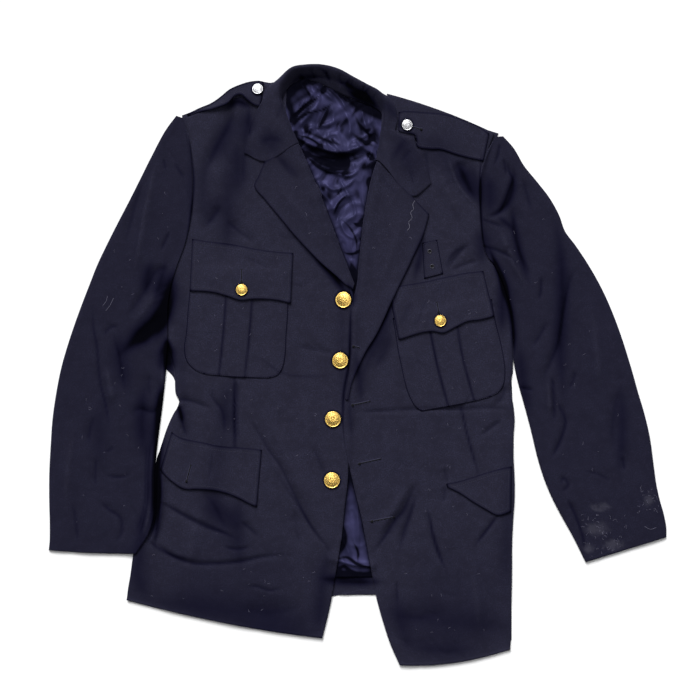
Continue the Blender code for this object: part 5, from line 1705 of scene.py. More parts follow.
# Shoulder straps from the armhole or the neck: back edge, front edge and bow.
EPAULETTE_RIGHT = (
    (-243.1, 359.2, -241.7, 356.1, 0), (-224.5, 368.2, -224.5, 362.5),
    (-207.3, 375.4, -207.3, 365.4), (-194.5, 384, -193, 369.7), (-183, 393.2, -181.6, 373.9),
    (-173, 398.3, -173, 384.7), (-164.4, 401.8, -165.2, 386.1), (-155.9, 404.7, -156.6, 378.2),
    (-147.3, 406.4, -147.3, 371.8), (-140.1, 406.8, -140.1, 369.7), (-133, 405.4, -136.6, 373.9),
)
EPAULETTE_LEFT = (
    (59.3, 361.8, 58.9, 334.6, 0), (68.6, 363.2, 70.1, 331.8), (80.1, 362.8, 82.9, 328.2),
    (87.2, 362.5, 85.1, 313.2), (100.1, 361.4, 104.4, 308.2), (115.8, 360.2, 118.7, 307.7),
    (133, 357.1, 140.1, 301), (155.9, 348.9, 161.6, 295.3), (173, 341.8, 173, 293.1),
    (188.8, 331, 180.2, 291),
)
# Pockets, flaps and the badge tab.
CHEST_PATCH_RIGHT = (
    (-237.4, 139.4, -97.2, 133.7, 0), (-238.8, 108, -98, 100.8), (-241.7, 76.5, -98.7, 72.2),
    (-243.8, 47.9, -100.8, 43.6), (-246.7, 22.2, -102.2, 16.4), (-243.1, 6.4, -105.1, -0.7),
    (-233.1, -5, -111.5, -12.2), (-217.4, -12.6, -124.4, -17.9, 1.4),
)
CHEST_PATCH_LEFT = (
    (50.8, 67.9, 192.3, 95.1, 0), (55.1, 42.2, 197.3, 65.1), (58.6, 19.3, 204.5, 36.5),
    (62.9, -0.7, 209.2, 13.6), (67.9, -23.6, 211.6, -7.9), (74.4, -43.6, 209.5, -26.5),
    (81.5, -56.5, 203.1, -37.2), (91.5, -65.1, 188.8, -45.5, 1.4),
)
CHEST_FLAP_RIGHT = (
    (-235.2, 180.9, -238.8, 106.5, 0), (-217.4, 178, -220.2, 105.8), (-198.8, 175.7, -202.3, 103.7),
    (-181.6, 173.7, -184.5, 98.7), (-163, 170.2, -166.6, 93), (-144.4, 166.6, -147.3, 94.7),
    (-125.8, 163.7, -128.7, 94.4), (-107.2, 161.9, -110.1, 92.2), (-90.8, 160.6, -94.4, 88.4),
)
CHEST_FLAP_LEFT = (
    (44.3, 109.4, 59.3, 36.5, 0), (64.3, 114.4, 77.2, 42.2), (82.9, 117.3, 91.5, 46.5),
    (101.5, 120.8, 107.2, 48.6), (120.1, 125.1, 123.7, 46.5), (137.3, 128.7, 140.1, 54.3),
    (154.4, 132.3, 157.3, 62.5), (167.3, 133.7, 175.9, 65.1), (180.2, 135.1, 195.9, 70.1),
)
LOWER_FLAP_RIGHT = (
    (-264.6, -94.4, -281, -149.4, 0), (-251.7, -102.7, -264.6, -165.2),
    (-235.9, -106.5, -247.4, -175.9), (-218.8, -109.8, -227.4, -176.6),
    (-201.6, -113.7, -207.3, -178), (-183, -115.8, -185.9, -182.6),
    (-165.9, -116.8, -165.9, -190.9), (-150.2, -118.4, -153, -197.6),
    (-135.8, -120.1, -143, -201.6),
)
LOWER_FLAP_LEFT = (
    (127.3, -168.5, 128, -172.7, 0), (147.3, -164.4, 145.9, -181.6), (165.9, -158.7, 165.2, -194.5),
    (185.9, -152.3, 184.5, -205.9), (203.1, -147.3, 200.2, -213.8), (220.9, -143.7, 219.9, -208.8),
)
BADGE_TAB = (
    (93, 175.2, 114.4, 179.5, 0), (94.4, 149.4, 118.7, 155.2), (95.8, 123.7, 123, 130.8),
)
# Collar from gorge to gorge: foot, roll, middle of the fall and edge of each section.
COLLAR = (
    (-82.5, 317.6, 3.3, -87.2, 316, 8, -132.3, 291, 8, -161.6, 303.9, 8),
    (-92.2, 334.6, 3.3, -96.5, 333.9, 9, -130.1, 313.9, 9, -158.3, 316.7, 9),
    (-99.8, 352.5, 3.3, -104.4, 351.8, 10, -130.1, 339.6, 10, -153, 337.5, 9),
    (-104.7, 368.2, 3.3, -109, 368.2, 11, -127.3, 361.1, 10.5, -146.6, 356.1, 10),
    (-108, 381.1, 3.3, -113, 384, 12, -125.8, 380.4, 11, -135.8, 376.8, 10),
    (-103, 392.5, 3.5, -111.5, 399, 16, -121.5, 396.1, 11, -129.4, 392.5, 6),
    (-95.8, 401.8, 3.5, -103.7, 411.8, 20, -110.8, 407.5, 12, -117.3, 402.5, 3),
    (-84.4, 407.5, 3.5, -91.5, 422.6, 23, -94.4, 417.6, 12, -94.4, 411.1, 1.5),
    (-68.6, 409, 3.5, -72.9, 426.1, 24, -72.9, 419.7, 12, -71.5, 412.6, 1.5),
    (-50, 402.5, 3.5, -50, 426.1, 24, -50, 419, 12, -50, 409.7, 1.5),
    (-30, 392.5, 3.5, -27.2, 420.4, 24, -28.6, 412.6, 12, -29.3, 402.5, 1.5),
    (-10, 383.2, 3.5, -5.7, 409, 23, -7.1, 401.1, 12, -8.6, 392.5, 1.5),
    (8.6, 376.1, 3.5, 12.9, 399, 21, 13.6, 392.5, 12, 13.6, 385.4, 2.5),
    (24.3, 369.7, 3.5, 30, 389, 18, 36.5, 385.7, 13, 42.9, 382.5, 10),
    (34.3, 363.2, 3.4, 40, 376.8, 14, 45.8, 374.7, 12, 52.2, 372.5, 10),
    (37.2, 352.5, 3.3, 41.5, 353.2, 12, 49.3, 352.5, 11, 57.2, 351.8, 10),
    (35, 335.3, 3.3, 39.3, 335.3, 10, 47.2, 333.9, 10, 55.1, 332.5, 9),
    (33.3, 323.9, 3.3, 37.6, 323.2, 9, 51.5, 319.6, 9, 67.9, 322.5, 9),
    (31.7, 312.5, 3.3, 36, 311.7, 9, 60.1, 301, 9, 85.8, 306, 9),
    (30, 302.4, 3.3, 34.3, 301, 8.5, 68.6, 273.8, 9, 100.1, 281, 9),
    (28.6, 293.1, 3.3, 32.9, 291, 8, 80.1, 241, 8, 105.8, 259.5, 8),
)
# Back: its top and hem lines, and its sides as Y, left X and right X.
BACK_TOP = (
    (-250.2, 357.5), (-215.9, 370.4), (-167.3, 394), (-135.8, 406.1), (-124.4, 404), (-113, 406.1),
    (-104.4, 409.7), (-95.8, 399), (-84.4, 404.7), (-68.6, 406.1), (-50, 399.7), (-30, 389.7),
    (-10, 380.4), (8.6, 373.2), (24.3, 367.5), (38.6, 362.5), (44.3, 379.7), (61.5, 382.5),
    (104.4, 367.5), (147.3, 350.3), (177.3, 339.6), (202.3, 331.8),
)
BACK_HEM = (
    (-328.9, -332.5), (-296, -338.9), (-253.1, -343.9), (-167.3, -343.9), (-81.5, -335.3),
    (-37.2, -330.3), (-17.2, -326), (1.4, -321), (12.9, -319.6), (24.3, -321.8), (61.5, -329.6),
    (133, -349.6), (220.2, -392.5),
)
BACK_SIDES = (
    (308.2, -243.8, 192.3), (265.3, -241, 182.3), (222.4, -241.7, 182.3), (179.5, -249.5, 185.2),
    (148, -258.8, 195.9), (115.1, -267.7, 215.9), (79.4, -271.3, 220.9), (42.2, -273.8, 223.1),
    (29.3, -278.1, 223.1), (-0.7, -278.1, 223.1), (-9.3, -268.1, 223.1), (-17.9, -261, 220.9),
    (-53.6, -253.8, 222.4), (-86.5, -270, 224.2), (-135.1, -285.7, 223.9), (-192.3, -299.2, 225.2),
    (-249.5, -314.3, 221.9), (-295.3, -322.9, 221.6), (-332.5, -328.2, 220.9),
)
# Lining: left end, right end and bow of each section, and the line of its neck.
BACK_LINING = (
    (-100.1, 391.1, 32.9, 361.1, 0), (-101.5, 368.2, 38.6, 351.1), (-103, 336.8, 47.2, 333.9),
    (-97.2, 293.9, 47.2, 293.9), (-81.5, 236.7, 40, 236.7), (-55.8, 179.5, 32.9, 179.5),
    (-34.3, 129.4, 27.2, 129.4), (-28.6, 65.1, 21.4, 65.1), (-30, -6.4, 15.7, -6.4),
    (-31.5, -77.9, 12.9, -77.9), (-34.3, -139.4, 15.7, -139.4), (-40, -192.3, 28.6, -192.3),
    (-48.6, -249.5, 40, -249.5), (-55.8, -286.7, 50, -286.7), (-57.2, -302.4, 51.5, -302.4),
)
LINING_NECK = (
    (-104.4, 394), (-95.8, 402.5), (-84.4, 407.5), (-68.6, 409), (-50, 402.5), (-30, 393.2),
    (-10, 384.7), (8.6, 377.5), (24.3, 371.1), (37.2, 363.9),
)
# Creases: width, height, skew, fade at the start and at the end, then the path.
TOP_SLEEVE_RIGHT_FOLDS = (
    (10, 4.4, 0.5, 0.3, 0.4, -199, 210, -207, 175, -212, 153, -216, 130, -221, 103, -226, 80),
    (9, -2.7, 0, 0.4, 0.4, -211, 193, -219, 169, -226, 143, -233, 115),
    (3.2, -2.4, -0.2, 0.3, 0.2, -264, 65, -263, 35, -260, 20, -258, -5, -256, -20, -251, -40, -247,
     -65),
    (11, -6, 0.3, 0, 0.6, -186, 49, -202, 43, -215, 34, -226, 22, -236, 10),
    (9, -4.8, 0.3, 0.2, 0.4, -187, 97, -199, 95, -209, 80, -221, 60, -233, 43),
    (7, 1.4, 0, 0.2, 0.4, -189, 70, -205, 63, -217, 50, -229, 37),
    (2.6, -2, 0, 0.3, 0.3, -237, 40, -247, 37, -254, 28),
    (2.6, -1.9, 0.2, 0.3, 0.3, -186, 135, -191, 125, -196, 113),
    (3, -1.5, 0, 0.3, 0.3, -194, 207, -192, 200, -191, 193),
    (3, -1.5, 0, 0.3, 0.3, -183, 202, -177, 193, -172, 185),
    (6, -2.5, 0, 0.3, 0.4, -245, 35, -239, 15, -235, -7, -230, -35),
    (9, 4, 0.2, 0.3, 0.3, -251, 0, -247, -20, -243, -40),
    (7, -5.3, 0.2, 0, 0.5, -193, -40, -205, -46, -217, -43, -227, -53),
    (8, -2.2, 0, 0.3, 0.4, -207, -7, -208, -20, -205, -35),
    (6, -2.4, 0, 0.3, 0.4, -262, -50, -267, -65, -269, -83),
    (2.6, -1.5, 0, 0.3, 0.4, -252, -87, -247, -85, -242, -80),
    (4, -1.7, 0, 0.3, 0.4, -259, -90, -262, -110, -260, -125),
    (3, -2, 0, 0.3, 0.4, -252, -110, -237, -112, -224, -108),
    (5, -2.5, 0.2, 0.2, 0.3, -257, -135, -247, -145, -237, -152, -235, -165, -242, -180),
    (6, -2.2, 0, 0.3, 0.3, -285, -135, -281, -155, -279, -180),
    (12, 3.1, 0, 0.4, 0.4, -281, -55, -289, -105, -291, -155),
    (6, 3.4, 0, 0.3, 0.2, -196, -60, -203, -80, -206, -105, -206, -135, -210, -159, -218, -180),
    (6, 4, 0, 0.3, 0.3, -192, 27, -193, 13, -194, -7, -195, -25),
    (8, 1.4, 0, 0.2, 0.4, -185, 80, -197, 73, -210, 63, -223, 47),
    (1.6, -1.4, 0, 0.1, 0.1, -210, -75, -211, -105, -212, -135, -216, -155, -221, -167),
    (1.6, -1.4, 0, 0.1, 0.1, -207, -75, -208, -105, -209, -135, -213, -156, -218, -170),
)
TOP_SLEEVE_LEFT_FOLDS = (
    (3, -1.9, 0, 0.2, 0.4, 143, 222, 140, 207, 136, 197),
    (5, -5.1, 0.2, 0.2, 0.3, 150, 205, 152, 193, 155, 187, 151, 173, 146, 160, 142, 153, 133, 149,
     126, 151),
    (3, -2, 0, 0.3, 0.3, 146, 207, 148, 198, 149, 189),
    (9, -5.7, 0.4, 0.2, 0.3, 154, 160, 155, 150, 157, 130, 161, 115, 168, 100, 174, 87, 177, 83),
    (8, 4, 0, 0.3, 0.4, 143, 137, 149, 119, 159, 97, 169, 75),
    (3, -2.2, 0, 0, 0.5, 127, 145, 143, 139, 151, 137),
    (2.8, -2.4, 0, 0, 0.4, 127, 119, 143, 113, 156, 105, 160, 95, 158, 85),
    (3, -1.5, 0, 0.3, 0.3, 151, 120, 150, 115, 149, 110),
    (3, -2.7, 0.2, 0.3, 0.3, 183, 90, 184, 80, 183, 71, 181, 63),
    (8, -3.1, 0, 0.3, 0.4, 165, 187, 170, 170, 175, 150),
    (7, -5.1, 0.2, 0.3, 0.3, 223, 100, 215, 90, 210, 75, 206, 55, 203, 35, 200, 20, 194, 5, 188,
     -10, 183, -25),
    (6, -2.4, 0, 0.3, 0.4, 191, 45, 183, 30, 173, 15),
    (3.2, -2.7, 0, 0.2, 0.3, 195, -10, 196, -25, 197, -40, 197, -60),
    (5, 2.6, 0, 0.3, 0.3, 190, -15, 192, -35, 192, -50),
    (4.4, -3.9, 0.2, 0.2, 0.3, 198, -35, 205, -47, 208, -57, 205, -70, 200, -82, 192, -97),
    (4, -2, 0, 0.3, 0.3, 218, -5, 216, -15, 211, -25),
    (3, -2.5, 0, 0, 0.5, 164, -22, 171, -24, 178, -26),
    (4, -2.2, 0, 0.3, 0.3, 203, -122, 206, -113, 211, -119, 203, -128),
    (4.4, -3.6, 0.2, 0.2, 0.3, 209, -132, 218, -150, 225, -170, 229, -191),
    (12, -4.4, 0.3, 0.3, 0.4, 263, -20, 257, -45, 255, -75, 258, -90),
    (2.4, -1.4, 0, 0.3, 0.3, 226, -105, 243, -110, 255, -117),
    (5, -2.2, 0, 0.3, 0.3, 265, -90, 266, -97, 267, -107),
    (14, 3.5, 0, 0.4, 0.4, 233, 65, 239, 15, 243, -35),
)
FRONT_RIGHT_FOLDS = (
    (4.5, -30, 0, 0.2, 0.15, -193, -71, -197, -87, -198.5, -107, -199, -135, -202, -155, -209,
     -178),
    (4.5, -9, 0, 0.1, 0.4, -178, -39, -176, -51, -173, -63, -169, -75),
    (12, -4.2, 0.2, 0.2, 0.4, -121, 257, -129, 240, -140, 220, -150, 195, -154, 175),
    (10, -2.5, 0, 0.3, 0.4, -110, 230, -113, 200, -113, 171),
    (8, -3.2, 0, 0.3, 0.4, -135, 160, -142, 150, -154, 135),
    (8, -4, 0.2, 0.3, 0.3, -132, 145, -117, 133, -99, 119),
    (1.8, -1.9, 0, 0.1, 0.2, -121, -15, -122, -35, -122, -60, -120, -80),
    (1.8, -1.5, 0, 0.1, 0.2, -118, -15, -119, -35, -119, -60, -117, -80),
    (5, -2.5, 0, 0.3, 0.3, -142, -17, -145, -30, -135, -45, -132, -73),
    (5, -3.4, 0, 0, 0.4, -176, -34, -165, -36, -154, -40, -143, -45),
    (4.2, -3.6, -0.2, 0.3, 0.3, -117, -40, -107, -55, -95, -73, -90, -82, -77, -100, -67, -120, -57,
     -140, -45, -163, -32, -180, -20, -197),
    (12, 3.1, 0.2, 0.3, 0.4, -95, -47, -72, -87, -54, -125, -32, -165),
    (5.4, -4.6, -0.2, 0.2, 0.4, -200, -135, -187, -142, -170, -152, -152, -161, -132, -168, -117,
     -175),
    (11, -5, -0.2, 0.3, 0.4, -157, -125, -142, -140, -135, -155, -127, -170),
    (5, -2.9, 0, 0.3, 0.4, -117, -155, -107, -163, -95, -175),
    (4.6, -4.8, -0.2, 0.2, 0.4, -207, -175, -197, -181, -185, -190, -167, -197, -142, -198, -117,
     -196, -92, -191, -57, -190),
    (2.6, -2.1, 0, 0.3, 0.3, -135, -181, -120, -184, -105, -181),
    (2.4, -1.9, 0, 0.3, 0.3, -114, -223, -102, -221, -87, -225, -72, -222),
    (16, -4.6, 0, 0.3, 0.4, -117, -244, -87, -247, -52, -241),
    (12, -3.8, 0, 0.3, 0.4, -62, -143, -60, -165, -52, -187),
    (3.4, -2.1, 0, 0.3, 0.3, -45, -80, -39, -93, -34, -105, -30, -115),
    (14, 3.1, 0, 0.4, 0.4, -57, -25, -47, -65, -41, -115),
    (16, 3.6, 0, 0.4, 0.4, -152, -135, -165, -175, -171, -225),
    (5, -1.7, 0, 0.3, 0.4, -65, 20, -42, 15, -17, 10),
)
FRONT_LEFT_FOLDS = (
    (12, -5.3, 0.3, 0.2, 0.4, 99, 205, 107, 185, 119, 162),
    (3, 1.9, 0, 0.2, 0.4, 90, 208, 95, 195, 101, 180, 110, 168, 121, 155),
    (6, -2.2, 0, 0.3, 0.3, 68, 215, 71, 195, 73, 183),
    (12, 3.6, 0, 0.3, 0.4, 79, 200, 91, 170, 111, 139),
    (5, -2.8, 0, 0.3, 0.3, 115, 122, 105, 115, 95, 103, 88, 93),
    (4, -2.4, 0, 0.3, 0.3, 123, 105, 109, 101, 91, 93),
    (3, -2.2, 0, 0.1, 0.1, -1, -47, 23, -46, 63, -44, 103, -44, 133, -43, 154, -44),
    (6, -4.2, 0, 0.2, 0.4, 149, -20, 143, -35, 135, -43),
    (4, -2.8, 0, 0.2, 0.4, 145, -55, 133, -63, 121, -73),
    (1.8, -1.6, 0, 0.1, 0.2, 104, -43, 109, -65, 114, -85, 120, -105),
    (5, -2.8, 0, 0.3, 0.3, 86, -102, 89, -111, 90, -120),
    (5, -2.8, 0, 0.3, 0.3, 89, -120, 87, -130, 86, -140),
    (3.4, -3, -0.2, 0.2, 0.4, 70, -140, 73, -155, 77, -175, 83, -192, 90, -208),
    (6.4, -4.8, 0.2, 0.2, 0.3, 61, -115, 53, -130, 45, -147, 38, -155, 28, -170, 19, -183, 13,
     -191),
    (7, -3.8, 0.2, 0.3, 0.4, 63, -122, 58, -135, 53, -150, 47, -165, 43, -180, 41, -190),
    (8, 3.4, 0, 0.3, 0.4, 51, -122, 39, -140, 27, -157, 17, -173),
    (3.2, -2.8, 0, 0.2, 0.4, 140, -150, 133, -160, 125, -170, 116, -182),
    (2.6, -2, 0, 0.2, 0.4, 40, -215, 40, -227, 41, -241),
    (14, -2.4, 0, 0.3, 0.4, 38, -249, 63, -253, 93, -243),
    (12, -1.2, 0, 0.3, 0.4, 43, -275, 58, -276, 75, -275),
    (16, 3.1, 0, 0.4, 0.4, 113, -195, 119, -235, 123, -275),
    (12, 2.6, 0, 0.4, 0.4, 28, -60, 35, -87, 33, -117),
)
LAPEL_RIGHT_FOLDS = (
    (8, -2.2, 0, 0.3, 0.4, -85, 212, -75, 202, -67, 192, -57, 185),
    (9, 1.8, 0, 0.3, 0.4, -82, 180, -59, 157, -41, 133),
)
LAPEL_LEFT_FOLDS = (
    (8, -1.9, 0, 0.3, 0.4, 23, 190, 33, 177, 43, 169),
    (10, 1.6, 0, 0.3, 0.4, 48, 150, 35, 115, 23, 80),
)
COLLAR_FOLDS = (
    (9, -0.9, 0, 0.4, 0.4, -99, 222, -87, 225, -73, 223),
    (6, -2.2, 0, 0.3, 0.3, -111, 249, -108, 237, -106, 225),
    (4.4, -1.2, 0, 0.2, 0.3, 54, 215, 48, 208, 43, 202),
    (4.4, -1.1, 0, 0.3, 0.3, 53, 196, 55, 186, 56, 176),
    (2.6, -1.8, 0, 0.3, 0.3, -61, 291, -56, 285, -54, 279),
    (2.4, -1.8, 0, 0.3, 0.3, -48, 296, -43, 290, -42, 283),
    (2.4, -1.8, 0, 0.3, 0.3, -30, 295, -30, 288, -26, 282),
    (2.6, -2, 0, 0.3, 0.3, -16, 292, -17, 285, -13, 278),
    (2.4, -1.8, 0, 0.3, 0.3, -3, 286, -5, 279, -2, 273),
    (2.6, -2, 0, 0.3, 0.3, 10, 280, 6, 274, 9, 266),
    (2.4, -1.8, 0, 0.3, 0.3, 21, 273, 17, 267, 19, 260),
    (3, -1.6, 0.2, 0.2, 0.2, -61, 285, -39, 288, -17, 284, 1, 276, 19, 266),
    (5, -1.6, 0, 0.3, 0.3, -71, 269, -77, 255, -81, 241),
)
CHEST_PATCH_RIGHT_FOLDS = (
    (3, -1, 0, 0.2, 0.3, -170, 34, -152, 31, -134, 32),
    (3, -1.2, 0, 0.3, 0.4, -107, 8, -95, 6, -85, -1, -76, -8),
    (7, -1.2, 0, 0.3, 0.4, -157, 47, -149, 25, -147, 3),
)
CHEST_PATCH_LEFT_FOLDS = (
    (2.6, -1.2, 0, 0, 0.4, 42, 7, 58, 5, 71, -4), (7, -1.2, 0, 0.3, 0.4, 121, 35, 125, 15, 127, -7),
)
CHEST_FLAP_RIGHT_FOLDS = (
    (3.4, -1.7, 0, 0.2, 0.4, -114, 108, -99, 102, -81, 93),
    (8, 1.4, 0, 0.3, 0.4, -147, 103, -143, 90, -141, 75),
)
CHEST_FLAP_LEFT_FOLDS = (
    (4, -1.8, 0, 0.2, 0.4, 70, 70, 67, 60, 61, 45, 55, 32),
    (4, -1.5, 0, 0.2, 0.4, 88, 86, 81, 75, 73, 68),
)
LOWER_FLAP_RIGHT_FOLDS = (
    (6, -1.3, 0, 0.2, 0.4, -144, -85, -146, -100, -149, -119),
)
LINING_FOLDS = (
    (4.4, -5, 0.2, 0.1, 0.3, -68, 243, -57, 253, -47, 263, -41, 269),
    (4.4, -5, 0.2, 0.1, 0.3, -41, 234, -37, 247, -29, 260),
    (4.6, 6.5, 0, 0.2, 0.4, -66, 248, -55, 259, -44, 269),
    (4.6, 5.5, 0, 0.2, 0.4, -61, 237, -49, 249, -36, 263),
    (3.4, 4.6, -0.3, 0.2, 0.3, -57, 280, -47, 272, -35, 264),
    (3.4, 4.4, 0.2, 0.2, 0.3, -45, 281, -33, 272, -21, 262),
    (3.2, 4.2, 0.2, 0.2, 0.3, -29, 277, -17, 266, -9, 252),
    (3.6, 4.6, 0, 0.2, 0.3, -57, 231, -45, 237, -27, 241, -15, 249),
    (4.6, 7.5, 0.35, 0.1, 0.2, -61, 229, -47, 220, -32, 215, -17, 212, -1, 216, 17, 225),
    (5, -6, 0, 0.1, 0.2, -57, 215, -43, 208, -29, 203, -13, 202, 3, 208, 17, 215),
    (3.4, 5, 0.2, 0.2, 0.3, -39, 197, -23, 192, -7, 189, 5, 197),
    (3.2, 4.4, 0.2, 0.2, 0.3, -2, 225, 9, 215, 21, 209),
    (3.4, 4.2, 0.2, 0.2, 0.3, -29, 227, -19, 217, -10, 207),
    (4.2, 5.2, 0, 0.2, 0.3, -12, 253, -7, 239, -9, 223),
    (3.8, 4.8, 0, 0.2, 0.3, 5, 257, 7, 243, 15, 227),
    (3.4, 4, 0.3, 0.2, 0.3, -35, 183, -24, 175, -10, 179, 1, 189),
    (4.4, 5.4, 0.2, 0.2, 0.3, -25, 149, -20, 161, -12, 168, 0, 171),
    (4, -4.4, 0.2, 0.2, 0.3, -21, 143, -16, 155, -9, 162, 0, 165),
    (4, 4.6, 0.2, 0.2, 0.3, -39, 185, -35, 173, -27, 162),
    (4, -3.4, 0, 0.2, 0.3, -15, 125, -12, 113, -1, 105),
    (3.4, 3.6, 0.2, 0.2, 0.3, -17, 143, -11, 131, -1, 125),
    (4, 3.2, 0, 0.3, 0.3, -5, 95, -7, 65, -3, 35),
    (4, 2.8, 0, 0.2, 0.3, -19, -167, -11, -181, -5, -195),
    (4.6, 2.8, 0, 0.3, 0.3, -1, -123, 1, -155, 1, -187),
    (4.2, 5, 0.4, 0.05, 0.05, -31, -193, -13, -197, -1, -200, 19, -201),
)
# Painted shade strokes, with a painted highlight where the strength is below 0: reach,
# strength, then the stroke's path.
PAINTED_SHADE_STROKES = (
    (12, 0.95, -121, 261, -128, 239, -139, 218, -153, 193),
    (9, 0.5, -112, 261, -116, 239, -113, 215), (5, 0.6, -107, 261, -109, 239, -114, 213),
    (18, 0.8, -121, 239, -119, 193, -117, 159), (10, 0.35, -136, 175, -143, 153, -154, 129),
    (5, 0.25, -101, 219, -87, 226, -69, 223), (11, 0.3, -102, 243, -87, 231, -65, 213),
    (5, 0.5, -85, 214, -70, 200, -54, 182), (14, 0.5, -123, -5, -131, -40, -124, -75),
    (16, 0.45, -167, -140, -135, -147, -109, -169),
    (30, 0.75, -267, -227, -157, -242, -97, -251, 18, -257),
    (60, 0.35, -247, -185, -117, -205, 3, -210), (60, 0.3, 23, -205, 93, -215, 183, -220),
    (22, 0.5, -129, -5, -135, -75, -143, -135, -117, -205),
    (14, 0.45, -132, -261, -77, -267, -12, -275),
    (2, 1.5, -5, 90, -7, 35, -8, 3, -13, -27, -14, -60, -9, -100),
    (3.4, -1, 31, 235, 47, 232, 57, 223), (6, 1.5, -135, 253, -119, 263, -103, 255),
    (18, 0.75, -213, -170, -219, -210, -205, -241),
    (11, 0.35, -176, 140, -173, 65, -174, -15, -171, -85, -185, -165),
    (9, 0.4, -19, 103, -15, 35, -17, -67), (7, 0.8, -3, 20, 3, -19, 5, -49),
    (10, 1.9, -179, 73, -197, 47, -217, 28, -242, 7), (11, 1.9, -181, 103, -190, 60, -202, 20),
    (8, 0.7, -204, 109, -209, 90, -212, 65), (6, 0.7, -189, 110, -196, 85, -204, 57),
    (12, 0.5, -237, 40, -235, 0, -225, -35), (10, 0.7, -211, -10, -215, -55, -212, -100),
    (12, 0.25, -253, -20, -257, -75, -255, -115),
    (8, 1.9, -196, -7, -198, -65, -201, -115, -205, -185), (9, 0.5, -211, -135, -217, -200),
    (18, 0.5, 55, 255, 48, 215, 63, 175), (26, 0.55, 51, 237, 83, 213, 113, 165),
    (6, 1, 68, 141, 63, 110, 55, 75), (10, 1.15, 98, 209, 109, 185, 123, 155),
    (7, 0.5, 113, 207, 120, 181, 123, 151), (10, 0.6, 128, 197, 133, 171, 131, 145),
    (5, 1.1, 157, 201, 155, 175, 148, 159, 129, 148),
    (5, 0.8, 157, 167, 157, 143, 160, 125, 165, 103, 176, 73),
    (3.4, 0.8, 139, 149, 150, 141, 158, 133), (4, 2.2, 130, 121, 140, 97, 147, 77, 153, 51),
    (1.6, 1.4, 124, 225, 123, 180, 124, 143, 127, 120, 135, 101),
    (1.6, 1.1, -171, 250, -166, 215, -163, 180, -166, 150, -175, 103),
    (3.4, 0.7, 87, 99, 98, 113, 111, 121), (10, 1.1, 146, 103, 144, 20),
    (12, 0.8, 117, 143, 123, 125, 125, 93), (8, 0.5, 263, -10, 265, -65, 260, -120),
    (30, 0.65, -7, -243, 93, -257, 193, -263), (14, 0.6, 35, -277, 83, -285, 133, -283),
    (9, 0.8, 192, 165, 203, 115, 205, 75, 203, 15, 209, -55), (8, 0.6, 162, 30, 166, -20, 175, -60),
    (4, 0.4, 50, 229, 41, 215, 31, 199), (2.6, 0.6, 69, -135, 75, -165, 83, -191, 95, -217),
    (7, 0.5, 62, -115, 51, -139, 37, -159, 9, -195), (5, 0.45, 60, -121, 51, -155, 39, -199),
    (2.6, 0.7, -217, -165, -197, -184, -177, -192, -151, -195),
    (2.6, 0.5, -207, -130, -172, -149, -142, -163, -109, -179),
    (4, 1.3, -181, -36, -176, -48, -173, -61), (2.6, 0.5, 145, -145, 130, -165, 113, -187),
    (2.6, 0.45, -102, -75, -72, -120, -42, -165, -13, -201),
    (2.6, 0.5, -117, 11, -95, 4, -77, -7, -7, -9), (3.4, 1.7, 145, 85, 153, 55, 156, 30, 156, -3),
    (9, 0.5, -111, 269, -107, 247, -105, 223), (12, 0.4, -101, 235, -87, 219, -71, 211),
    (5, 0.7, -7, -23, -7, -50, -5, -79), (8, 0.8, -199, 47, -211, 31, -223, 21),
    (5, 1.2, -189, 31, -189, 17, -188, 5), (4, 1.2, -11, 85, -5, 70, -3, 55),
    (8, -0.9, -87, 261, -75, 285, -57, 297), (8, 2, -43, -213, -7, -215, 33, -217),
    (14, 0.55, -151, 225, -154, 175, -151, 125), (13, 0.7, -27, -165, -35, -225, -40, -280),
    (13, 0.5, -115, -115, -119, -165, -114, -215), (13, 0.5, 152, -55, 150, -155, 147, -255),
    (13, 0.45, 33, -210, 43, -255, 56, -303), (16, 0.7, -131, 205, -129, 150, -131, 95),
    (4, 1.5, -196, -97, -198, -150, -204, -191), (6, 1.6, -192, -10, -195, -40, -197, -75),
    (9, 2.4, -190, 29, -189, 5, -188, -15),
)
# More painted shade strokes: the shadow beside the left lapel, and strokes on single pieces.
LAPEL_SHADE = (
    (8, 0.6, 39, 39, 27, 13, 13, -11), (8, 0.5, 57, 75, 49, 53, 39, 31),
    (5, 1.9, 47, 91, 34, 61, 18, 32, 5, 10, -4, -19), (9, 0.7, 43, 65, 29, 35, 13, 9, 3, -27),
    (3, 0.9, 71, 153, 61, 125, 47, 89, 37, 67),
)
PIECE_SHADE_STROKES = {
    "front_left": LAPEL_SHADE + (
        (2.6, 0.6, 83, 35, 103, -39, 109, -65, 120, -105, 133, -165),
    ),
    "chest_pocket_left": LAPEL_SHADE + (
        (2.2, 1.3, 56, 115, 72, 39, 80, 0, 92, -45, 107, -105),
        (2.2, 1.2, 87, 105, 99, 44, 106, 5, 118, -39, 133, -95),
    ),
    "chest_pocket_right": (
        (2.2, 1.2, -125, 135, -130, 75, -133, 35, -138, -11, -145, -71),
        (2.2, 1.1, -101, 135, -104, 75, -107, 35, -112, -11, -119, -71),
    ),
    "chest_flap_left": LAPEL_SHADE,
    "collar": (
        (5, 2.2, -15, 279, -1, 270, 15, 262, 27, 252),
        (3, 1.4, -27, 285, -13, 281, 5, 272, 19, 265),
        (3, 0.9, -73, 277, -61, 286, -45, 289, -27, 285), (4, 0.8, -76, 257, -73, 270, -64, 281),
        (8, 0.6, 21, 267, 35, 253, 45, 239), (2, 1.2, -39, 297, -30, 291, -25, 281),
        (2, 1.1, -5, 289, -9, 281, -1, 273), (2.4, 1.1, 15, 279, 9, 272, 16, 263),
        (2, 0.9, -59, 293, -54, 287, -53, 279),
    ),
    "front_right": (
        (6.4, 2, -54, 127, -23, 89, -3, 61), (7, 0.8, -95, 175, -67, 139, -23, 85),
        (2.6, 0.75, -121, 55, -122, -13, -122.5, -45, -122, -81, -121, -145),
    ),
}
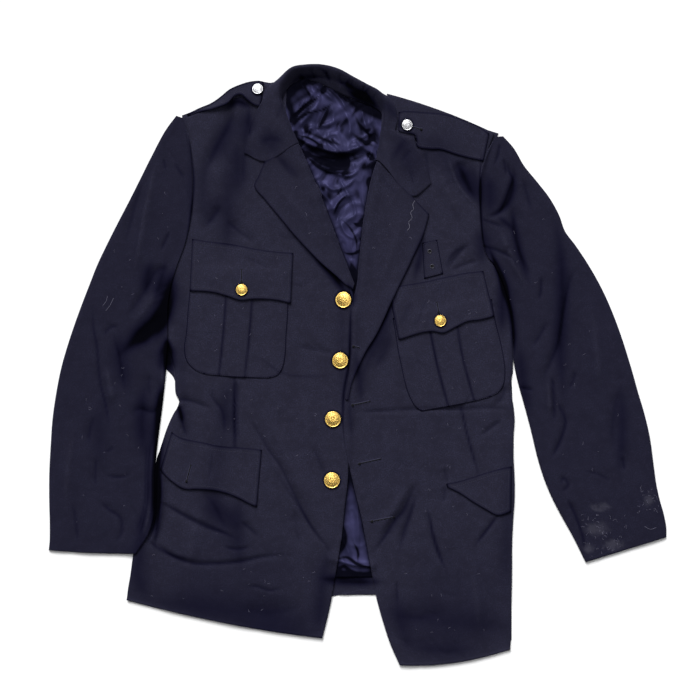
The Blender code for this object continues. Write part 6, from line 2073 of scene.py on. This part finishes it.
# Painted shade laid evenly over the whole of each piece.
PIECE_PAINTED_SHADE = {
    "top_sleeve_right": 0.56, "top_sleeve_left": 0.54, "collar": 0.3, "lapel_right": 0.32,
    "lapel_left": 0.26, "front_right": 0.1, "front_left": 0.12, "epaulette_right": 0.25,
    "epaulette_left": 0.15,
}
# Shade between the lining's folds.
LINING_SHADE = (
    (6, 1.4, -63, 229, -43, 215, -17, 208, 15, 219), (5, 1.2, -55, 215, -35, 202, -12, 198, 3, 205),
    (3, 0.9, -57, 237, -27, 223, -5, 217), (11, 2.1, -24, 285, 3, 267, 21, 253, 33, 237),
    (7, 0.9, -73, 257, -61, 277, -41, 285), (6, 1.1, -71, 273, -65, 251, -60, 229),
    (4, 1.1, -9, 235, 5, 224, 23, 217), (6, 0.8, 11, 247, 19, 231, 23, 213),
    (4, 0.8, -67, 237, -53, 251, -35, 269), (4, 0.7, -39, 231, -31, 247, -17, 261),
    (4, 0.8, -5, 253, 3, 239, 5, 223), (6, 2, -47, -203, -7, -211, 35, -210),
    (2.4, 1.3, -23, -195, -11, -192, 1, -199, 19, -203),
    (3, 1, -23, -208, -13, -201, -5, -207, 7, -211), (4, 1.4, -19, -155, -13, -173, -17, -191),
    (2, 1.1, -5, -175, 1, -187, 0, -199), (3.4, 1.8, -7, 107, -3, 89, -2, 65),
    (7, 0.8, -69, 257, -57, 266, -41, 275), (6, 0.9, -5, 195, 13, 199, 27, 207),
    (7, -0.7, -23, 175, -11, 177, 3, 179), (1.8, 1.2, -73, 236, -54, 257, -41, 266, -28, 277),
    (1.6, 0.9, -69, 237, -51, 250, -35, 255, -15, 267), (1.8, 1.1, -42, 228, -33, 247, -24, 265),
    (1.6, 0.7, -9, 241, 0, 256, 11, 266), (1.8, 1.2, -63, 231, -45, 225, -29, 212),
    (2.4, 1.2, -54, 213, -37, 197, -23, 192, -3, 193), (1.6, 1.2, -2, 175, -17, 163, -25, 145),
    (1.6, 0.8, -21, 150, -7, 137, -1, 125, -1, 107), (1.6, 1, -7, 144, 1, 140, 11, 141),
    (1.6, 1.1, -15, 113, -5, 111, 7, 117), (2.2, 1, -2, 245, 10, 232, 24, 217),
    (1.6, 0.6, -59, 283, -49, 273, -44, 261), (1.6, 0.8, -27, 165, -21, 169, -9, 187),
)
# Glue film left on the left cuff where a patch was taken off: place and size of each blot.
CUFF_RESIDUE = (
    (341.8, -232.4, 26, 16), (366.1, -256.7, 24, 13), (330.3, -261, 13, 11),
    (416.1, -190.9, 11, 15), (347.5, -202.3, 22, 10),
)
# Heights along a box pleat and along the rippled strap, and of the lapels' free edges
BOX_PLEAT = (
    (0.0, 0.0), (0.35, 0.0), (0.372, 1.2), (0.5, 1.35), (0.628, 1.2), (0.65, 0.0), (1.0, 0.0),
)
STRAP_WAVE = (
    (0.0, 0.0), (0.3, 2.0), (0.5, 8.0), (0.62, 9.5), (0.74, 6.0), (0.88, 2.0), (1.0, 1.0),
)
LAPEL_RIGHT_LIFT = ((0.0, 1.0), (0.4, 1.8), (0.8, 4.2), (1.0, 2.0))
LAPEL_LEFT_LIFT = ((0.0, 1.2), (0.4, 2.2), (0.6, 3.4), (0.85, 3.0), (1.0, 1.0))
# Buttons: slot and diameter, then the name, the place and the piece under each one
BUTTONS = (
    ("gold", 22.9, (
        ("front_button_1", -19.3, 93.7, "front_right"),
        ("front_button_2", -24.0, 7.1, "front_right"),
        ("front_button_3", -34.3, -76.5, "front_right"),
        ("front_button_4", -35.8, -163.7, "front_right"),
    )),
    ("gold", 16.5, (
        ("pocket_button_right", -164.4, 108.0, "chest_flap_right"),
        ("pocket_button_left", 118.7, 63.6, "chest_flap_left"),
    )),
    ("silver", 15.5, (
        ("epaulette_button_right", -141.6, 394.0, "epaulette_right"),
        ("epaulette_button_left", 71.5, 343.2, "epaulette_left"),
    )),
)
EYELETS = (("eyelet_upper", 103.7, 163.0), ("eyelet_lower", 107.2, 141.6))
# Topstitching: the pieces, each border with its gap, and the length left out at its ends
TOPSTITCHED = (
    (
        ("chest_flap_right", "chest_flap_left", "lower_flap_right", "lower_flap_left"),
        (("left", 6.5), ("right", 5.0), ("first", 5.0), ("last", 5.0)), 5.0,
    ),
    (
        ("chest_pocket_right", "chest_pocket_left"),
        (("left", 2.0), ("right", 2.0), ("last", 2.0)), 2.0,
    ),
    (("epaulette_right", "epaulette_left"), (("left", 4.0), ("right", 4.0)), 4.0),
    (("badge_tab",), (("first", 1.8), ("last", 1.8), ("left", 1.8), ("right", 1.8)), 1.8),
)
# Buttonholes: the piece, the place of the eye and the other end
BUTTONHOLES = (
    ("lapel_left", (-5.0, 27.2), (2.9, 25.7)),
    ("front_left", (-6.4, -56.5), (17.2, -51.5)),
    ("front_left", (3.6, -140.1), (32.2, -133.7)),
    ("front_left", (21.4, -222.4), (50.8, -216.6)),
    ("chest_flap_right", (-164.4, 118.7), (-164.4, 135.8)),
    ("chest_flap_left", (116.5, 75.8), (114.1, 89.4)),
    ("lower_flap_right", (-243.1, -165.2), (-237.4, -143.7)),
    ("epaulette_left", (91.5, 336.8), (80.1, 340.1)),
)
# Lint: seed, pieces, lowest and highest X and Y, number, longest and radius
LINT_AREAS = (
    (5, ("top_sleeve_left",), (318.9, -278.1, 384.7, -209.5), 60, 6.0, 0.16),
    (6, ("top_sleeve_left",), (399.0, -209.5, 430.4, -172.3), 26, 6.0, 0.16),
    (20, ("front_right",), (-241.7, -149.4, -38.6, -23.6), 16, 5.5, 0.15),
    (21, ("front_right",), (-296.0, -356.8, -55.8, -213.8), 18, 5.5, 0.15),
    (22, ("front_left",), (50.0, -392.5, 204.5, -77.9), 26, 5.5, 0.15),
    (23, ("top_sleeve_right",), (-407.5, -249.5, -310.3, 50.8), 16, 5.5, 0.15),
    (24, ("top_sleeve_right",), (-353.2, 65.1, -260.3, 279.6), 10, 5.5, 0.15),
    (25, ("top_sleeve_left",), (204.5, 93.7, 290.3, 222.4), 8, 5.5, 0.15),
    (26, ("top_sleeve_left",), (268.8, -163.7, 376.1, 50.8), 12, 5.5, 0.15),
    (27, ("lapel_left", "lapel_right"), (-135.8, 122.3, 90.1, 265.3), 16, 5.5, 0.15),
    (28, ("chest_flap_left", "chest_pocket_left"), (68.6, -35.0, 175.9, 93.7), 10, 5.5, 0.15),
    (29, ("chest_flap_right", "chest_pocket_right"), (-231.7, 7.9, -103.0, 158.0), 12, 5.5, 0.15),
)
LINT_THREADS = (
    ("top_sleeve_right", 0.24, ((-358.9, 77.9), (-353.2, 85.1), (-347.5, 96.5))),
    ("top_sleeve_right", 0.2, ((-363.2, 85.1), (-358.9, 90.8), (-356.1, 99.4))),
    ("top_sleeve_left", 0.22, ((364.6, -249.5), (367.5, -258.1), (370.4, -268.1))),
    ("top_sleeve_left", 0.22, ((410.4, -229.5), (419.0, -233.8), (427.6, -230.9))),
)
LOOSE_THREAD = (
    (82.9, 235.2), (79.4, 229.5), (80.8, 223.8), (76.5, 218.1), (78.6, 210.9), (73.6, 203.8),
    (75.1, 198.1), (71.5, 192.3),
)

WOOL = WoolTwill()
MARKED_WOOL = WoolTwill(name="wool serge twill with glue film", residue=True)
SATIN = Satin()
GOLD = StampedMetal("gilt button brass", "#e9c66f", "#4a3210", 0.34)
SILVER = StampedMetal("silvered button brass", "#d9d9dc", "#2c2b30", 0.36)
STEEL = StampedMetal("dull nickelled eyelet", "#4a4a52", "#1c1c20", 0.45)
NAVY_THREAD = Thread("navy sewing thread", "#2c2b3e")
HOLE_THREAD = Thread("navy buttonhole twist", "#3a3a54")
SHADE = Thread("shadow between the lips of a slit", "#020203", 0.95)
LINT = Thread("pale lint", "#77758a", 0.9)
WHITE_THREAD = Thread("loose pale thread", "#8b8a9a", 0.8)


# Scene


@dataclass
class Studio:
    """A white table under soft light, seen from straight above."""

    table_side: float = 9.0
    key: float = 3.9
    key_angle: float = 34.0
    key_aim: tuple[float, float, float] = (0.22, -0.92, -0.95)
    fill: float = 56.0
    fill_side: float = 2.4
    fill_place: tuple[float, float, float] = (0.2, 0.5, 4.2)
    world: float = 0.08
    world_colour: str = "#f2f4f8"
    sensor: float = 36.0

    def build(self) -> None:
        """Set up the table, the lights, the world and the camera."""
        deselect_all()
        bpy.ops.mesh.primitive_grid_add(x_subdivisions=8, y_subdivisions=8, size=self.table_side)
        floor = bpy.context.object
        floor.name = "white_table"
        floor.data.materials.append(dressed(PaleFloor()))
        key = self.hang("key light", "SUN", self.key, Vector(self.key_aim))
        key.data.angle = math.radians(self.key_angle)
        top = self.hang("top light", "AREA", self.fill, -Vector(self.fill_place))
        top.data.shape = "SQUARE"
        top.data.size = self.fill_side
        top.location = self.fill_place
        world = bpy.data.worlds.new("pale room")
        world.use_nodes = True
        background = world.node_tree.nodes["Background"]
        background.inputs["Color"].default_value = linear(self.world_colour)
        background.inputs["Strength"].default_value = self.world
        scene = bpy.context.scene
        scene.world = world
        scene.view_settings.view_transform = "Standard"
        scene.view_settings.look = "None"
        data = bpy.data.cameras.new("overhead camera")
        data.sensor_width = self.sensor
        data.lens = self.sensor * CAMERA_HEIGHT / (PHOTO_SIDE * PHOTO_SCALE)
        data.clip_end = 60.0
        camera = bpy.data.objects.new("overhead camera", data)
        camera.location = (VIEW_CENTRE[0] * MM, VIEW_CENTRE[1] * MM, CAMERA_HEIGHT * MM)
        scene.collection.objects.link(camera)
        scene.camera = camera

    def hang(self, name: str, kind: str, energy: float, aim: Vector) -> Object:
        """Hang a light that shines along its aim."""
        data = bpy.data.lights.new(name, kind)
        data.energy = energy
        item = bpy.data.objects.new(name, data)
        item.rotation_euler = aim.to_track_quat("-Z", "Y").to_euler()
        bpy.context.scene.collection.objects.link(item)
        return item


def main_panels() -> list[Sheet]:
    """The back, lining, fronts and sleeves, in the order in which they lie."""
    right, left = ("back", "front_right"), ("back", "front_left")
    lining = ("back", "back_lining")
    front = {"wall": FRONT_WALL, "top_height": 4.2, "hem_height": 4.0}
    sleeve = {"outer_roll": 9.0, "inner_roll": 5.0}
    covers = [[row[:2] for row in lapel] for lapel in (LAPEL_RIGHT, LAPEL_LEFT)]
    covers += [[row[2:4] for row in panel[16:]] for panel in (FRONT_RIGHT, FRONT_LEFT)]
    return [
        Back("back", BACK_SIDES, wall=WOOL_WALL - 0.1, upper=BACK_TOP, hem=BACK_HEM),
        Lining(
            "back_lining", BACK_LINING, ("back",), SATIN, folds=LINING_FOLDS, wall=LINING_WALL,
            slot="satin", neck_line=LINING_NECK, shaded_by=tuple(covers),
        ),
        Panel("front_right", FRONT_RIGHT, lining, folds=FRONT_RIGHT_FOLDS, seed=11, **front),
        Panel(
            "front_left", FRONT_LEFT, (*lining, "front_right"), WOOL, True, FRONT_LEFT_FOLDS,
            seed=23, **front,
        ),
        UnderSleeve("under_sleeve_right", SLEEVE_RIGHT, right),
        UnderSleeve("under_sleeve_left", SLEEVE_LEFT, left, turned=True),
        Panel(
            "top_sleeve_right", SLEEVE_RIGHT, ("under_sleeve_right", *right),
            folds=TOP_SLEEVE_RIGHT_FOLDS, seed=37, **sleeve,
        ),
        Panel(
            "top_sleeve_left", SLEEVE_LEFT, ("under_sleeve_left", *left), MARKED_WOOL, True,
            TOP_SLEEVE_LEFT_FOLDS, marks=CUFF_RESIDUE, seed=53, **sleeve,
        ),
    ]


def sewn_pieces() -> list[Sheet]:
    """Pockets, flaps, straps, the tab, the lapels and the collar, in the order they lie."""
    right, left = ("front_right",), ("front_left",)
    sewn = dict.fromkeys(("first", "last", "left", "right"), Border.SEWN)
    patch = {"pleat": BOX_PLEAT, **sewn}
    flap = {"wall": FLAP_WALL, "turned": True, "left": Border.SEWN}
    chest = {"free_lift": 1.4, "softness": 8, **flap}
    strap = {"wall": FLAP_WALL, "turned": True, "first": Border.SEWN, "softness": 4}
    straps = ("epaulette_right", "epaulette_left")
    under = ("back", "back_lining", "front_right", "front_left")
    return [
        SewnPiece(
            "chest_pocket_right", CHEST_PATCH_RIGHT, right, folds=CHEST_PATCH_RIGHT_FOLDS,
            seed=61, **patch,
        ),
        SewnPiece(
            "chest_pocket_left", CHEST_PATCH_LEFT, left, folds=CHEST_PATCH_LEFT_FOLDS,
            seed=63, **patch,
        ),
        SewnPiece("badge_tab", BADGE_TAB, left, seed=65, **sewn),
        SewnPiece(
            "lower_flap_right", LOWER_FLAP_RIGHT, right, folds=LOWER_FLAP_RIGHT_FOLDS,
            free_lift=1.6, seed=67, **flap,
        ),
        SewnPiece("lower_flap_left", LOWER_FLAP_LEFT, left, free_lift=1.2, seed=69, **flap),
        SewnPiece(
            "chest_flap_right", CHEST_FLAP_RIGHT, (*right, "chest_pocket_right"),
            folds=CHEST_FLAP_RIGHT_FOLDS, seed=71, **chest,
        ),
        SewnPiece(
            "chest_flap_left", CHEST_FLAP_LEFT, (*left, "chest_pocket_left"),
            folds=CHEST_FLAP_LEFT_FOLDS, seed=73, **chest,
        ),
        SewnPiece(
            straps[0], EPAULETTE_RIGHT, ("back", *right), free_lift=1.0, wave=STRAP_WAVE,
            seed=75, **strap,
        ),
        SewnPiece(
            straps[1], EPAULETTE_LEFT, ("back", *left), free_lift=0.5, last=Border.SEWN,
            seed=77, **strap,
        ),
        Lapel(
            "lapel_right", LAPEL_RIGHT, (*under[:3], "chest_flap_right"), WOOL, True,
            LAPEL_RIGHT_FOLDS, COLLAR_WALL, 81, edge_lift=LAPEL_RIGHT_LIFT,
        ),
        Lapel(
            "lapel_left", LAPEL_LEFT, (*under, "chest_flap_left"), WOOL, False,
            LAPEL_LEFT_FOLDS, COLLAR_WALL, 83, edge_lift=LAPEL_LEFT_LIFT,
        ),
        Collar(
            "collar", COLLAR, (*under, *straps), folds=COLLAR_FOLDS, wall=COLLAR_WALL,
            grows_up=True,
        ),
    ]


def buttons() -> list[CoatButton]:
    """Front, pocket and epaulette buttons."""
    metals = {"gold": GOLD, "silver": SILVER}
    return [
        CoatButton(node, diameter, x, y, (on,), metals[slot], slot)
        for slot, diameter, spots in BUTTONS
        for node, x, y, on in spots
    ]


def sew(pile: Pile, grids: dict[str, ClothGrid]) -> None:
    """Add the topstitching and the buttonholes.

    Args:
        pile: The cloth laid so far.
        grids: The top surface of each piece.
    """
    topstitch = ThreadWork("topstitching", NAVY_THREAD)
    for names, borders, trim in TOPSTITCHED:
        for name in names:
            for side, gap in borders:
                topstitch.row(grids[name].inset(side, gap, trim))
    topstitch.build()
    holes = ThreadWork("buttonholes", HOLE_THREAD)
    slits = ThreadWork("buttonhole_slits", SHADE)
    for on, start, end in BUTTONHOLES:
        holes.buttonhole(pile, (on,), start, end)
        slits.slit(pile, (on,), start, end)
    holes.build()
    slits.build()


def strew(pile: Pile) -> None:
    """Lay the lint and the loose threads that the photo shows."""
    lint = Fibres("lint", LINT)
    for seed, on, box, count, longest, radius in LINT_AREAS:
        lint.scatter(pile, on, box, count, longest, radius, seed)
    for on, radius, path in LINT_THREADS:
        lint.lay(pile, (on,), path, radius)
    lint.build()
    loose = Fibres("loose_thread", WHITE_THREAD)
    loose.lay(pile, ("front_left", "lapel_left", "collar"), LOOSE_THREAD, 0.22, 6)
    loose.build()


def main() -> None:
    """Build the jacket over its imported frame."""
    logging.basicConfig(level=logging.INFO, format="%(message)s")
    pile = Pile()
    grids: dict[str, ClothGrid] = {}
    for piece in main_panels() + sewn_pieces():
        piece.build(pile)
        grids[piece.node] = piece.grid
    for button in buttons():
        button.build(pile)
    for node, x, y in EYELETS:
        Eyelet(node, x, y, ("front_left", "badge_tab"), STEEL, SHADE).build(pile)
    sew(pile, grids)
    strew(pile)
    Studio().build()


if __name__ == "__main__":
    main()
